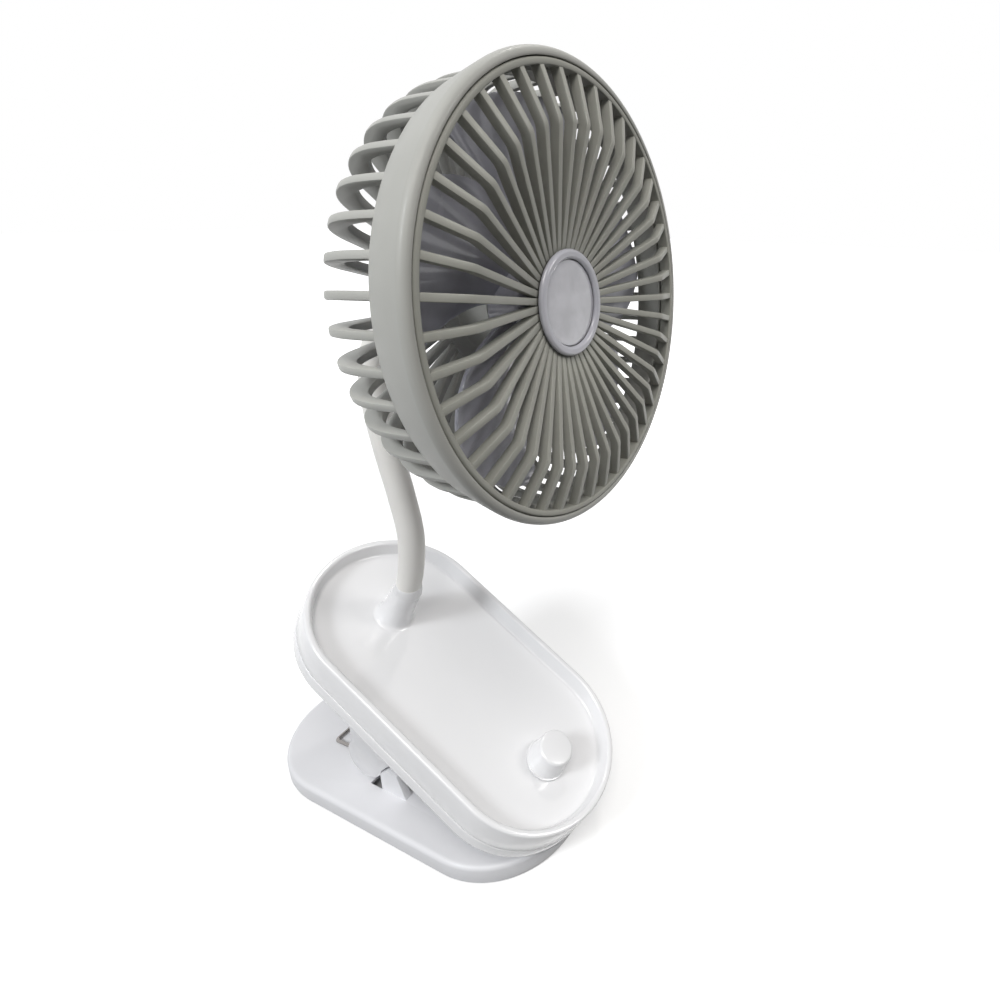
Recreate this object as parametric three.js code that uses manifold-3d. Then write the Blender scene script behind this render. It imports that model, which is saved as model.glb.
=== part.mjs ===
// Clip fan: a spring clip with a battery tray, a gooseneck and a 150 mm caged fan head.
// Millimetres, +Z up. The origin is the middle of the clip's sole, +X runs to the jaw tip,
// and the fan blows towards +X.
import * as THREE from 'three';
import { mergeVertices } from 'three/addons/utils/BufferGeometryUtils.js';
import Module from 'manifold-3d';

const wasm = await Module();
wasm.setup();

// ---------------------------------------------------------------- driving dimensions
const GAP = 0.3;

// Lower jaw, a flat stadium
const JAW_LENGTH = 174.4;
const JAW_WIDTH = 87.1;
const JAW_TOP = 11;
const JAW_SKIN = 2;
const SOLE_LENGTH = 124;
const SOLE_WIDTH = 58;
const SOLE_THICK = 1.2;
const SCREW_X = [-72, 72];
const GRIP_X = 66;
const GRIP_LENGTH = 20;
const GRIP_WIDTH = 48;
const GRIP_TEETH = 5;
const TOOTH_ROOT = 11.1;
const TOOTH_TIP = 12.9;

// Upper jaw, the battery body with the tray on top
const BODY_LENGTH = 176.2;
const BODY_WIDTH = 89;
const BODY_TILT = THREE.MathUtils.degToRad(31.9);
const BODY_X = 16.32;
const BODY_Z = 57.83;
const BODY_HEIGHT = 22.8;
const PARTING = 8.5;
const BODY_WALL = 2.2;
const FLOOR_TOP = 15.8;
const FLOOR_UNDER = 13.8;
const RIM_WIDTH = 3.6;
const USB_U = 38;
const CASE_SCREWS = [[-62, -26], [-62, 26], [14, -34], [14, 34]];

// Clip pivot
const PIVOT_X = -19.5;
const PIVOT_Z = 24;
const PIN_RADIUS = 2.5;
const PIN_HALF = 24.4;
const EAR_RADIUS = 11.2;
const EAR_INNER = 22;
const EAR_OUTER = 26.6;
const LUG_RADIUS = 9;
const LUG_INNER = 17;
const LUG_OUTER = 21.6;
const STOP_INNER = 24.4;
const STOP_OUTER = 28;

// Clip spring, one wire with two coils and a bail that lies on the lower jaw
const WIRE = 1.8;
const COIL_RADIUS = 6.2;
const COIL_TURNS = 4.25;
const COIL_PITCH = 2.4;
const COIL_Y = 15.5;
const BAIL_Y = 17.2;
const BAIL_X = -53.2;
const CURL_STEPS = 8;
const WIRE_SIDES = 5;

// Speed knob
const KNOB_U = 56.85;
const KNOB_RADIUS = 10.25;
const KNOB_TOP = 28.3;
const SHAFT_RADIUS = 3;

// Gooseneck
const NECK_U = -46.75;
const NECK_RADIUS = 5.9;
const NECK_BORE = 2.4;
const NECK_SIDES = 10;
const NECK_LINKS = 8;
const FIRST_BALL = 36.5;
const CUP_RADIUS = NECK_RADIUS + 2 * GAP;

// Fan head: its own x axis is the fan axis, x = 0 is the plane of the front ring
const HEAD_CENTRE = new THREE.Vector3(102.7, -9, 262.2);
const HEAD_YAW = THREE.MathUtils.degToRad(-2.2);
const HEAD_TILT = THREE.MathUtils.degToRad(3.8);
const RIBS = 45;
const LIP_RADIUS = 73.4;
const GROOVE_RADIUS = 70.65;
const OPENING_RADIUS = 68.4;
const BAND_DEPTH = 15.3;
const CAGE_RADIUS = 70;
const CAGE_DEPTH = 41;
const CAGE_DISC = 24;
const KINK_RADIUS = 54.1;
const KINK_RISE = 3.2;
const HUB_RADIUS = 17.5;
const HUB_SET_BACK = 5.6;
const RIB_WIDTH = 2.2;
const RIB_DEPTH = 3.4;
const FIN_WIDTH = 2.4;
const LAST_BALL = -53;

// Impeller
const BLADES = 5;
const BLADE_ROOT = 18;
const BLADE_TIP = 63.5;
const BLADE_THICK = 1.5;
const BLADE_ROWS = 5;
const BLADE_COLUMNS = 5;
const CUP_FRONT = -11.2;
const CUP_BACK = -24.2;
const CUP_OUTER = 19;

// ---------------------------------------------------------------- materials
const glossWhite = { color: 0xe6e6e8, roughness: 0.25 };
const softWhite = { color: 0xe2e2e4, roughness: 0.45 };
const warmGrey = { color: 0xa3a39a, roughness: 0.45 };
const sleeveWhite = { color: 0xe0e0d8, roughness: 0.6 };
const lavender = { color: 0xb9b9c6, roughness: 0.25 };
const rubber = { color: 0x5c5c60, roughness: 0.85 };
const steel = { color: 0xc4c4c4, roughness: 0.25, metalness: 1 };
const copperCan = { color: 0x8f8f92, roughness: 0.35, metalness: 1 };
const boardGreen = { color: 0x1f5a3a, roughness: 0.6 };
const cellBlue = { color: 0x4a6fa8, roughness: 0.5 };
const black = { color: 0x26262a, roughness: 0.6 };

// ---------------------------------------------------------------- solids
// Drops everything but the positions, merges shared points and turns the faces out.
function closed(geometry) {
  const bare = geometry.clone();
  for (const name of Object.keys(bare.attributes)) {
    if (name !== 'position') bare.deleteAttribute(name);
  }
  const merged = mergeVertices(bare, 1e-4);
  const index = Array.from(merged.index.array);
  const kept = [];
  for (let i = 0; i < index.length; i += 3) {
    const [a, b, c] = index.slice(i, i + 3);
    if (a !== b && b !== c && c !== a) kept.push(a, b, c);
  }
  merged.setIndex(kept);
  if (volume(merged) < 0) {
    for (let i = 0; i < kept.length; i += 3) [kept[i], kept[i + 1]] = [kept[i + 1], kept[i]];
    merged.setIndex(kept);
  }
  return merged;
}

function volume(geometry) {
  const position = geometry.attributes.position;
  const index = geometry.index.array;
  const [a, b, c] = [new THREE.Vector3(), new THREE.Vector3(), new THREE.Vector3()];
  let sum = 0;
  for (let i = 0; i < index.length; i += 3) {
    a.fromBufferAttribute(position, index[i]);
    b.fromBufferAttribute(position, index[i + 1]);
    c.fromBufferAttribute(position, index[i + 2]);
    sum += a.dot(b.cross(c)) / 6;
  }
  return sum;
}

function toSolid(geometry) {
  const mesh = closed(geometry);
  return new wasm.Manifold(new wasm.Mesh({
    numProp: 3,
    vertProperties: new Float32Array(mesh.attributes.position.array),
    triVerts: new Uint32Array(mesh.index.array),
  }));
}

function fromSolid(solid) {
  const mesh = solid.getMesh();
  const geometry = new THREE.BufferGeometry();
  geometry.setAttribute('position', new THREE.BufferAttribute(new Float32Array(mesh.vertProperties), 3));
  geometry.setIndex(Array.from(mesh.triVerts));
  return geometry;
}

function join(...geometries) {
  return fromSolid(geometries.map(toSolid).reduce((sum, part) => sum.add(part)));
}

function cut(body, ...tools) {
  return fromSolid(tools.map(toSolid).reduce((rest, tool) => rest.subtract(tool), toSolid(body)));
}

// ---------------------------------------------------------------- shapes
function outline(points) {
  return new THREE.Shape(points.map(([x, y]) => new THREE.Vector2(x, y)));
}

// A shape drawn in x and y, standing between two heights.
function slab(shape, low, high, curveSegments = 12) {
  const geometry = new THREE.ExtrudeGeometry(shape, {
    depth: high - low, bevelEnabled: false, curveSegments,
  });
  return geometry.translate(0, 0, low);
}

// A shape drawn in x and z, reaching from one y to another.
function web(shape, y0, y1, curveSegments = 12) {
  const geometry = new THREE.ExtrudeGeometry(shape, {
    depth: y1 - y0, bevelEnabled: false, curveSegments,
  });
  return geometry.rotateX(Math.PI / 2).translate(0, y1, 0);
}

// Turns [radius, height] points about the z axis.
function turned(profile, steps) {
  const points = profile.map(([r, h]) => new THREE.Vector2(r, h));
  return new THREE.LatheGeometry(points, steps).rotateX(Math.PI / 2);
}

// Turns [x, radius] points about the x axis, with a flat of the polygon towards -y.
function spun(profile, steps) {
  const points = profile.map(([x, r]) => new THREE.Vector2(r, x));
  const start = new THREE.LatheGeometry(points, steps);
  return start.rotateZ(-Math.PI / 2).rotateX(Math.PI / 2 + Math.PI / steps);
}

function pillar(radius, low, high, steps = 16) {
  return turned([[0, low], [radius, low], [radius, high], [0, high]], steps);
}

function block(x0, x1, y0, y1, z0, z1) {
  const box = new THREE.BoxGeometry(x1 - x0, y1 - y0, z1 - z0);
  return box.translate((x0 + x1) / 2, (y0 + y1) / 2, (z0 + z1) / 2);
}

// The points of a stadium that lies `inset` inside the full one.
function stadium(length, width, inset, steps = 14) {
  const radius = width / 2 - inset;
  const straight = (length - width) / 2;
  const points = [];
  for (const side of [1, -1]) {
    for (let i = 0; i <= steps; i++) {
      const angle = -Math.PI / 2 + Math.PI * i / steps;
      points.push([side * (straight + radius * Math.cos(angle)), side * radius * Math.sin(angle)]);
    }
  }
  return points;
}

// Carries a profile of [inset, height] points round a stadium. Both ends are flat faces.
function stadiumShell(length, width, profile, steps = 14) {
  const vertices = [];
  const index = [];
  const count = 2 * (steps + 1);
  for (const [inset, height] of profile) {
    for (const [x, y] of stadium(length, width, inset, steps)) vertices.push(x, y, height);
  }
  for (let row = 0; row + 1 < profile.length; row++) {
    for (let i = 0; i < count; i++) {
      const a = row * count + i;
      const b = row * count + (i + 1) % count;
      index.push(a, b, a + count, b, b + count, a + count);
    }
  }
  const last = (profile.length - 1) * count;
  for (const [base, flip] of [[0, true], [last, false]]) {
    vertices.push(0, 0, vertices[3 * base + 2]);
    const middle = vertices.length / 3 - 1;
    for (let i = 0; i < count; i++) {
      const pair = [base + i, base + (i + 1) % count];
      if (flip) pair.reverse();
      index.push(...pair, middle);
    }
  }
  const geometry = new THREE.BufferGeometry();
  geometry.setAttribute('position', new THREE.Float32BufferAttribute(vertices, 3));
  geometry.setIndex(index);
  return geometry;
}

// A round wire through a list of points, closed at both ends.
function wireAlong(points, radius, sides) {
  const vertices = [];
  const index = [];
  let side = new THREE.Vector3(0, 1, 0);
  points.forEach((point, row) => {
    const before = points[Math.max(row - 1, 0)];
    const after = points[Math.min(row + 1, points.length - 1)];
    const along = after.clone().sub(before).normalize();
    side = side.clone().addScaledVector(along, -side.dot(along)).normalize();
    const across = new THREE.Vector3().crossVectors(along, side);
    for (let i = 0; i < sides; i++) {
      const angle = 2 * Math.PI * i / sides;
      const spot = point.clone()
        .addScaledVector(side, radius * Math.cos(angle))
        .addScaledVector(across, radius * Math.sin(angle));
      vertices.push(spot.x, spot.y, spot.z);
    }
  });
  for (let row = 0; row + 1 < points.length; row++) {
    for (let i = 0; i < sides; i++) {
      const a = row * sides + i;
      const b = row * sides + (i + 1) % sides;
      index.push(a, b, a + sides, b, b + sides, a + sides);
    }
  }
  const last = (points.length - 1) * sides;
  for (let i = 1; i + 1 < sides; i++) {
    index.push(0, i + 1, i);
    index.push(last, last + i, last + i + 1);
  }
  const geometry = new THREE.BufferGeometry();
  geometry.setAttribute('position', new THREE.Float32BufferAttribute(vertices, 3));
  geometry.setIndex(index);
  return geometry;
}

// The least air between stretches of one wire that are more than `apart` along it.
function leastGap(points, diameter, apart) {
  let least = Infinity;
  const travelled = [0];
  for (let i = 1; i < points.length; i++) {
    travelled.push(travelled[i - 1] + points[i].distanceTo(points[i - 1]));
  }
  for (let i = 0; i < points.length; i++) {
    for (let j = i + 1; j < points.length; j++) {
      if (travelled[j] - travelled[i] > apart) {
        least = Math.min(least, points[i].distanceTo(points[j]) - diameter);
      }
    }
  }
  return least;
}

function part(name, geometry, look) {
  const mesh = new THREE.Mesh(closed(geometry), new THREE.MeshStandardMaterial(look));
  mesh.name = name;
  return mesh;
}

// A point of the upright frame in the tilted body's own u (along) and w (up) directions.
function bodyPoint(x, z) {
  const [dx, dz] = [x - BODY_X, z - BODY_Z];
  return [
    dx * Math.cos(BODY_TILT) - dz * Math.sin(BODY_TILT),
    dx * Math.sin(BODY_TILT) + dz * Math.cos(BODY_TILT),
  ];
}

function uprightPoint(u, v, w) {
  return new THREE.Vector3(
    BODY_X + u * Math.cos(BODY_TILT) + w * Math.sin(BODY_TILT),
    v,
    BODY_Z - u * Math.sin(BODY_TILT) + w * Math.cos(BODY_TILT),
  );
}

// ---------------------------------------------------------------- lower jaw
function lowerJawShell() {
  const shell = stadiumShell(JAW_LENGTH, JAW_WIDTH, [
    [1.8, JAW_TOP], [0.9, JAW_TOP - 0.25], [0.3, JAW_TOP - 0.9], [0, JAW_TOP - 2],
    [0, 2.6], [JAW_SKIN, 2.6], [JAW_SKIN, JAW_TOP - JAW_SKIN],
  ]);
  const additions = [];
  const cuts = [];
  for (const side of [1, -1]) {
    additions.push(web(lugOutline(), ...span(side, LUG_INNER, LUG_OUTER)));
    additions.push(web(stopOutline(), ...span(side, STOP_INNER, STOP_OUTER)));
    cuts.push(block(-16, -8, ...span(side, LUG_OUTER + 0.4, STOP_OUTER), 5, JAW_TOP + 2));
  }
  for (const x of SCREW_X) additions.push(pillar(3.6, 2.9, JAW_TOP - 1, 10).translate(x, 0, 0));
  const bores = [pinBore(LUG_OUTER + 1)];
  for (const x of SCREW_X) bores.push(pillar(1.5, 2, 8.4, 8).translate(x, 0, 0));
  return cut(cut(join(shell, ...additions), ...cuts), ...bores, gripSeat());
}

function gripSeat() {
  return block(GRIP_X - GRIP_LENGTH / 2 - GAP, GRIP_X + GRIP_LENGTH / 2 + GAP,
    -GRIP_WIDTH / 2 - GAP, GRIP_WIDTH / 2 + GAP, JAW_TOP - 0.8, JAW_TOP + 1);
}

// Orders the two faces of a piece that stands on one side of the middle plane.
function span(side, inner, outer) {
  return side > 0 ? [inner, outer] : [-outer, -inner];
}

function lugOutline() {
  const shape = new THREE.Shape();
  shape.moveTo(PIVOT_X - LUG_RADIUS - 8, JAW_TOP - 0.6);
  shape.lineTo(PIVOT_X + LUG_RADIUS + 9, JAW_TOP - 0.6);
  shape.lineTo(PIVOT_X + LUG_RADIUS, PIVOT_Z);
  shape.absarc(PIVOT_X, PIVOT_Z, LUG_RADIUS, 0, Math.PI, false);
  return shape;
}

function stopOutline() {
  return outline([
    [-8, JAW_TOP - 0.6], [8, JAW_TOP - 0.6], [3.5, 24.5], [-3.6, 24.5], [-8, 20.9],
  ]);
}

function pinBore(half) {
  return alongY(PIN_RADIUS + GAP, -half, half, 14);
}

function alongY(radius, y0, y1, steps) {
  return pillar(radius, y0, y1, steps).rotateX(-Math.PI / 2).translate(PIVOT_X, 0, PIVOT_Z);
}

function lowerJawCover() {
  const cover = stadiumShell(JAW_LENGTH, JAW_WIDTH, [
    [2.4, 2.6], [2.4, 2.3], [0.4, 2.3], [0.4, 1.4], [1.3, 0.6],
  ]);
  const seat = slab(outline(stadium(SOLE_LENGTH, SOLE_WIDTH, -GAP)), 0, SOLE_THICK + GAP);
  const holes = SCREW_X.map((x) => screwHole(0.4, 3).translate(x, 0, 0));
  return cut(cover, seat, ...holes);
}

// A countersunk way for a case screw, from a face at `low` through a skin up to `high`.
function screwHole(low, high) {
  return turned([
    [0, low - 1], [3, low - 1], [3, low + 0.9], [1.5, low + 1.5], [1.5, high], [0, high],
  ], 8);
}

// A countersunk case screw with a recessed cross, standing on `low`.
function caseScrew(low, length) {
  const body = turned([
    [0, low], [2.6, low], [2.6, low + 0.5], [1.2, low + 1.4], [1.2, low + length], [0, low + length],
  ], 8);
  const slot = block(-1.6, 1.6, -0.35, 0.35, low - 1, low + 0.5);
  return cut(body, slot, slot.clone().rotateZ(Math.PI / 2));
}

function solePad() {
  return stadiumShell(SOLE_LENGTH, SOLE_WIDTH, [[0, SOLE_THICK], [0, 0.3], [0.4, 0]]);
}

// The rubber grip on the lower jaw: a low block with teeth across it.
function lowerGrip() {
  const teeth = [];
  const left = GRIP_X - GRIP_LENGTH / 2;
  const pitch = GRIP_LENGTH / GRIP_TEETH;
  for (let i = 0; i < GRIP_TEETH; i++) {
    const x = left + i * pitch;
    teeth.push([x, TOOTH_ROOT], [x + 0.4, TOOTH_TIP], [x + 1.8, TOOTH_TIP], [x + 2.2, TOOTH_ROOT]);
  }
  const shape = outline([[left, JAW_TOP - 0.5], ...teeth, [left + GRIP_LENGTH, TOOTH_ROOT],
    [left + GRIP_LENGTH, JAW_TOP - 0.5]]);
  return web(shape, -GRIP_WIDTH / 2, GRIP_WIDTH / 2);
}

function pivotPin() {
  return alongY(PIN_RADIUS, -PIN_HALF, PIN_HALF, 14);
}

// A nylon tube on the pin that keeps the two coils in line.
function springArbor() {
  const [inner, outer, half] = [PIN_RADIUS + GAP, 4.4, LUG_INNER - GAP];
  const ring = turned([[inner, -half], [outer, -half], [outer, half], [inner, half], [inner, -half]], 14);
  return ring.rotateX(-Math.PI / 2).translate(PIVOT_X, 0, PIVOT_Z);
}

// Half of the clip spring's line, from the bail's middle to the end under the tray body.
function springHalf() {
  const points = [];
  const jaw = JAW_TOP + GAP + WIRE / 2;
  points.push(new THREE.Vector3(BAIL_X, 0, jaw));
  points.push(new THREE.Vector3(BAIL_X, BAIL_Y - 1.6, jaw));
  points.push(new THREE.Vector3(BAIL_X + 0.5, BAIL_Y - 0.5, jaw));
  points.push(new THREE.Vector3(BAIL_X + 1.6, BAIL_Y, jaw));
  points.push(new THREE.Vector3(-43, BAIL_Y - 0.3, jaw));
  points.push(new THREE.Vector3(-38, COIL_Y + 0.2, jaw + 0.6));
  const steps = Math.round(COIL_TURNS * CURL_STEPS);
  for (let i = 0; i <= steps; i++) {
    const angle = -Math.PI / 2 + 2 * Math.PI * i / CURL_STEPS;
    points.push(new THREE.Vector3(
      PIVOT_X + COIL_RADIUS * Math.cos(angle),
      COIL_Y - COIL_PITCH * i / CURL_STEPS,
      PIVOT_Z + COIL_RADIUS * Math.sin(angle),
    ));
  }
  const end = uprightPoint(-50, points[points.length - 1].y, -GAP - WIRE / 2);
  points.push(new THREE.Vector3(end.x + 5, end.y, end.z - 9));
  points.push(end);
  const tip = uprightPoint(-56, end.y, -GAP - WIRE / 2);
  points.push(tip);
  return points;
}

function clipSpring() {
  const half = springHalf();
  const mirrored = half.slice(1).map((p) => new THREE.Vector3(p.x, -p.y, p.z));
  const line = [...mirrored.reverse(), ...half];
  const gap = leastGap(line, WIRE, 3 * WIRE + COIL_PITCH);
  console.log(`clip spring: least gap to itself ${gap.toFixed(2)} mm`);
  return wireAlong(line, WIRE / 2, WIRE_SIDES);
}

// ---------------------------------------------------------------- upper jaw
function earOutline() {
  const [u, w] = bodyPoint(PIVOT_X, PIVOT_Z);
  const shape = new THREE.Shape();
  shape.moveTo(-51.3, 0.8);
  shape.lineTo(u - EAR_RADIUS, w + 4);
  shape.absarc(u, w, EAR_RADIUS, Math.PI * 0.94, Math.PI * 2.1, false);
  shape.lineTo(8.7, 0.8);
  return shape;
}

function bottomShell() {
  const shell = stadiumShell(BODY_LENGTH, BODY_WIDTH, [
    [BODY_WALL, 2], [BODY_WALL, PARTING - 0.2], [0, PARTING - 0.2],
    [0, 2.6], [0.7, 0.8], [2.4, 0],
  ], 14);
  const additions = [];
  const bores = [];
  for (const side of [1, -1]) {
    additions.push(web(earOutline(), ...span(side, EAR_INNER, EAR_OUTER)));
  }
  for (const [u, v] of CASE_SCREWS) {
    additions.push(pillar(4.6, 1, PARTING - 0.2, 10).translate(u, v, 0));
    bores.push(screwHole(0, PARTING + 1).translate(u, v, 0));
  }
  for (const [u, v] of [[26, -20], [60, -20], [60, 20], [26, 20]]) {
    additions.push(pillar(2, 1, 3.2, 8).translate(u, v, 0));
  }
  for (const u of [-36.5, 28 - 10]) additions.push(block(u - 0.8, u + 0.8, -20, 20, 1, 6));
  const [pu, pw] = bodyPoint(PIVOT_X, PIVOT_Z);
  const bore = pillar(PIN_RADIUS + GAP, -PIN_HALF - GAP, PIN_HALF + GAP, 14)
    .rotateX(-Math.PI / 2).translate(pu, 0, pw);
  const port = block(USB_U - 4.8, USB_U + 4.8, 38, 50, 4.9, PARTING + 2);
  return cut(join(shell, ...additions), bore, port, ...bores);
}

function trayShell() {
  const rim = BODY_HEIGHT;
  const shell = stadiumShell(BODY_LENGTH, BODY_WIDTH, [
    [RIM_WIDTH + 3.4, FLOOR_TOP], [RIM_WIDTH + 1.3, FLOOR_TOP + 1],
    [RIM_WIDTH, rim - 1], [RIM_WIDTH - 1, rim], [1.5, rim], [0.5, rim - 1],
    [0.1, PARTING + 0.1], [BODY_WALL, PARTING + 0.1], [BODY_WALL, FLOOR_UNDER],
  ], 14);
  const additions = [];
  const bores = [pillar(6, FLOOR_UNDER - 1, FLOOR_TOP + 1, 14).translate(NECK_U, 0, 0)];
  bores.push(pillar(4, FLOOR_UNDER - 1, FLOOR_TOP + 1, 14).translate(KNOB_U, 0, 0));
  for (const [u, v] of CASE_SCREWS) {
    additions.push(pillar(4, PARTING + 0.1, FLOOR_UNDER + 1, 10).translate(u, v, 0));
    bores.push(pillar(1.5, PARTING - 1, FLOOR_UNDER - 0.4, 8).translate(u, v, 0));
  }
  return cut(join(shell, ...additions), ...bores);
}

// The rubber wedge over the lower grip. Its teeth stand over the gaps between the lower ones.
function upperGrip() {
  const tip = TOOTH_TIP + GAP;
  const root = tip + TOOTH_TIP - TOOTH_ROOT;
  const left = GRIP_X - GRIP_LENGTH / 2;
  const right = GRIP_X + GRIP_LENGTH / 2;
  const [u0] = bodyPoint(left, BODY_Z - (left - BODY_X) * Math.tan(BODY_TILT));
  const [u1] = bodyPoint(right, BODY_Z - (right - BODY_X) * Math.tan(BODY_TILT));
  const teeth = [];
  const pitch = GRIP_LENGTH / GRIP_TEETH;
  for (let i = GRIP_TEETH - 2; i >= 0; i--) {
    const x = left + i * pitch + 3.1;
    teeth.push([x + 1.1, root], [x + 0.7, tip], [x - 0.7, tip], [x - 1.1, root]);
  }
  const local = [[right, root], ...teeth, [left, root]].map(([x, z]) => bodyPoint(x, z));
  return web(outline([[u0 - 6, -GAP], [u1 - 6, -GAP], ...local]), -GRIP_WIDTH / 2, GRIP_WIDTH / 2);
}

function batteryPack() {
  const shape = outline([
    [-35, -18], [-34, -19], [16, -19], [17, -18], [17, 18], [16, 19], [-34, 19], [-35, 18],
  ]);
  return slab(shape, 2.3, 12.4);
}

function circuitBoard() {
  const shape = outline([
    [20, -26], [66, -26], [66, 26], [USB_U + 8, 26], [USB_U + 8, 41], [USB_U - 8, 41],
    [USB_U - 8, 26], [20, 26],
  ]);
  return slab(shape, 3.5, 5.1);
}

// A charging socket: a rounded metal sleeve, open to the side, with its tongue inside.
function usbSocket() {
  const sleeve = block(USB_U - 4.4, USB_U + 4.4, 36, 43.6, 5.4, 8.2);
  const mouth = block(USB_U - 3.9, USB_U + 3.9, 37, 45, 5.8, 7.8);
  const tongue = block(USB_U - 3, USB_U + 3, 36.5, 42.5, 6.6, 7);
  return join(cut(sleeve, mouth), tongue);
}

function potentiometer() {
  const can = join(
    block(KNOB_U - 8, KNOB_U + 8, -8, 8, 5.4, 10),
    pillar(3.9, 9, FLOOR_UNDER + 0.9, 14).translate(KNOB_U, 0, 0),
  );
  return cut(can, pillar(SHAFT_RADIUS + GAP, 7, FLOOR_TOP + 2, 12).translate(KNOB_U, 0, 0));
}

function knobShaft() {
  return pillar(SHAFT_RADIUS, 7.3, 24, 12).translate(KNOB_U, 0, 0);
}

// A moulded knob: a thin skirt, slightly tapered side and a rounded crown, hollow below.
function knob() {
  const base = FLOOR_TOP + GAP;
  return turned([
    [SHAFT_RADIUS + GAP, base + 1], [5, base + 1], [5, base + 8.6], [7, base + 8.6], [8.3, base],
    [KNOB_RADIUS, base], [KNOB_RADIUS, base + 1], [9.4, base + 1.8], [8.35, KNOB_TOP - 1.2],
    [7.4, KNOB_TOP], [0, KNOB_TOP], [0, 24.3], [SHAFT_RADIUS + GAP, 24.3],
    [SHAFT_RADIUS + GAP, base + 1],
  ], 20).translate(KNOB_U, 0, 0);
}

// ---------------------------------------------------------------- gooseneck
// The flared collar that stands on the tray and takes the first ball of the neck.
function neckSocket() {
  const base = FLOOR_TOP + GAP;
  const body = turned([
    [NECK_BORE, 9], [5.7, 9], [5.7, base], [12, base], [10.2, base + 1],
    [8.7, base + 3.4], [7.7, base + 7], [7.1, base + 11.6], [6.9, FIRST_BALL - 1.8],
    [NECK_BORE, FIRST_BALL - 1.8], [NECK_BORE, 9],
  ], 18);
  const cup = ball(CUP_RADIUS, 18, 8).translate(0, 0, FIRST_BALL);
  return cut(body, cup).translate(NECK_U, 0, 0);
}

function neckNut() {
  return cut(pillar(8.6, 10.4, 13.5, 6), pillar(6.1, 9, 15, 12)).translate(NECK_U, 0, 0);
}

function ball(radius, steps, rows) {
  const profile = [];
  for (let i = 0; i <= rows; i++) {
    const angle = -Math.PI / 2 + Math.PI * i / rows;
    profile.push([i % rows === 0 ? 0 : radius * Math.cos(angle), radius * Math.sin(angle)]);
  }
  return turned(profile, steps);
}

// The neck's middle line, from the first ball over the tray to the last behind the head.
function neckLine() {
  const start = uprightPoint(NECK_U, 0, FIRST_BALL);
  const end = headPoint(LAST_BALL);
  return new THREE.CatmullRomCurve3([
    start,
    new THREE.Vector3(1.5, -1.2, 128),
    new THREE.Vector3(5.3, -2.4, 148),
    new THREE.Vector3(3.9, -3.6, 168),
    new THREE.Vector3(0.9, -5, 190),
    new THREE.Vector3(-0.9, -6, 210),
    new THREE.Vector3(1.2, -6.8, 229),
    new THREE.Vector3(11.2, -7.2, 245.8),
    new THREE.Vector3(28, -7.2, 256),
    end,
  ], false, 'centripetal');
}

function headPoint(x) {
  const forward = new THREE.Vector3(
    Math.cos(HEAD_TILT) * Math.cos(HEAD_YAW),
    Math.cos(HEAD_TILT) * Math.sin(HEAD_YAW),
    Math.sin(HEAD_TILT),
  );
  return HEAD_CENTRE.clone().addScaledVector(forward, x);
}

// One link: a stretch of tube with a ball below and a cup above.
function neckLink(line, from, to) {
  const samples = [];
  for (let i = 0; i <= 4; i++) samples.push(line.getPointAt(from + (to - from) * i / 4));
  const stretch = new THREE.CatmullRomCurve3(samples);
  const tube = new THREE.ExtrudeGeometry(disc(NECK_RADIUS, NECK_SIDES), {
    steps: 3, extrudePath: stretch, bevelEnabled: false,
  });
  const lower = ball(NECK_RADIUS - 0.02, NECK_SIDES, 6);
  pointAlong(lower, line.getTangentAt(from)).translate(...samples[0].toArray());
  const cup = ball(CUP_RADIUS, 12, 6);
  pointAlong(cup, line.getTangentAt(to)).translate(...samples[4].toArray());
  return cut(join(tube, lower), cup);
}

function disc(radius, sides) {
  const points = [];
  for (let i = 0; i < sides; i++) {
    const angle = 2 * Math.PI * i / sides;
    points.push([radius * Math.cos(angle), radius * Math.sin(angle)]);
  }
  return outline(points);
}

function pointAlong(geometry, direction) {
  const turn = new THREE.Quaternion().setFromUnitVectors(new THREE.Vector3(0, 0, 1), direction);
  return geometry.applyQuaternion(turn);
}

// ---------------------------------------------------------------- fan head
// The moulded rear housing: band with its front lip, 45 fins and the motor cup.
function rearHousing() {
  const band = spun([
    [-BAND_DEPTH, 67.4], [-5, 67.4], [-5, GROOVE_RADIUS], [0, GROOVE_RADIUS],
    [0, 72.6], [-1.2, LIP_RADIUS], [-BAND_DEPTH, CAGE_RADIUS], [-BAND_DEPTH, 67.4],
  ], RIBS);
  const back = spun([
    [-CAGE_DEPTH, 5.4], [-CAGE_DEPTH, CAGE_DISC], [-CAGE_DEPTH + 2.8, CAGE_DISC],
    [-CAGE_DEPTH + 2.8, 18], [-25.2, 18], [-25.2, 15.8], [-CAGE_DEPTH + 2.8, 15.8],
    [-CAGE_DEPTH + 2.8, 5.4], [-CAGE_DEPTH, 5.4],
  ], 24);
  return join(band, back, ...around(rearFin));
}

// One fin of the cage, in the plane of x and radius: straight, rounded, then in to the disc.
function rearFin() {
  const back = -CAGE_DEPTH;
  return outline([
    [-BAND_DEPTH + 1, 69.6], [-27, 69.6], [-34, 67.8], [-39, 63.8],
    [back, 57], [back, CAGE_DISC - 1.5], [back + 2.4, CAGE_DISC - 1.5], [-34, 56.5],
    [-32, 63], [-27, 66.4], [-BAND_DEPTH + 1, 67.8],
  ]);
}

// Repeats a flat piece drawn in x and radius at every rib of the grille.
function around(profile, width = FIN_WIDTH) {
  const pieces = [];
  for (let i = 0; i < RIBS; i++) {
    const flat = new THREE.ExtrudeGeometry(profile(), { depth: width, bevelEnabled: false });
    flat.translate(0, 0, -width / 2).rotateX(Math.PI);
    pieces.push(flat.rotateX(Math.PI / 2 + 2 * Math.PI * i / RIBS));
  }
  return pieces;
}

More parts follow.
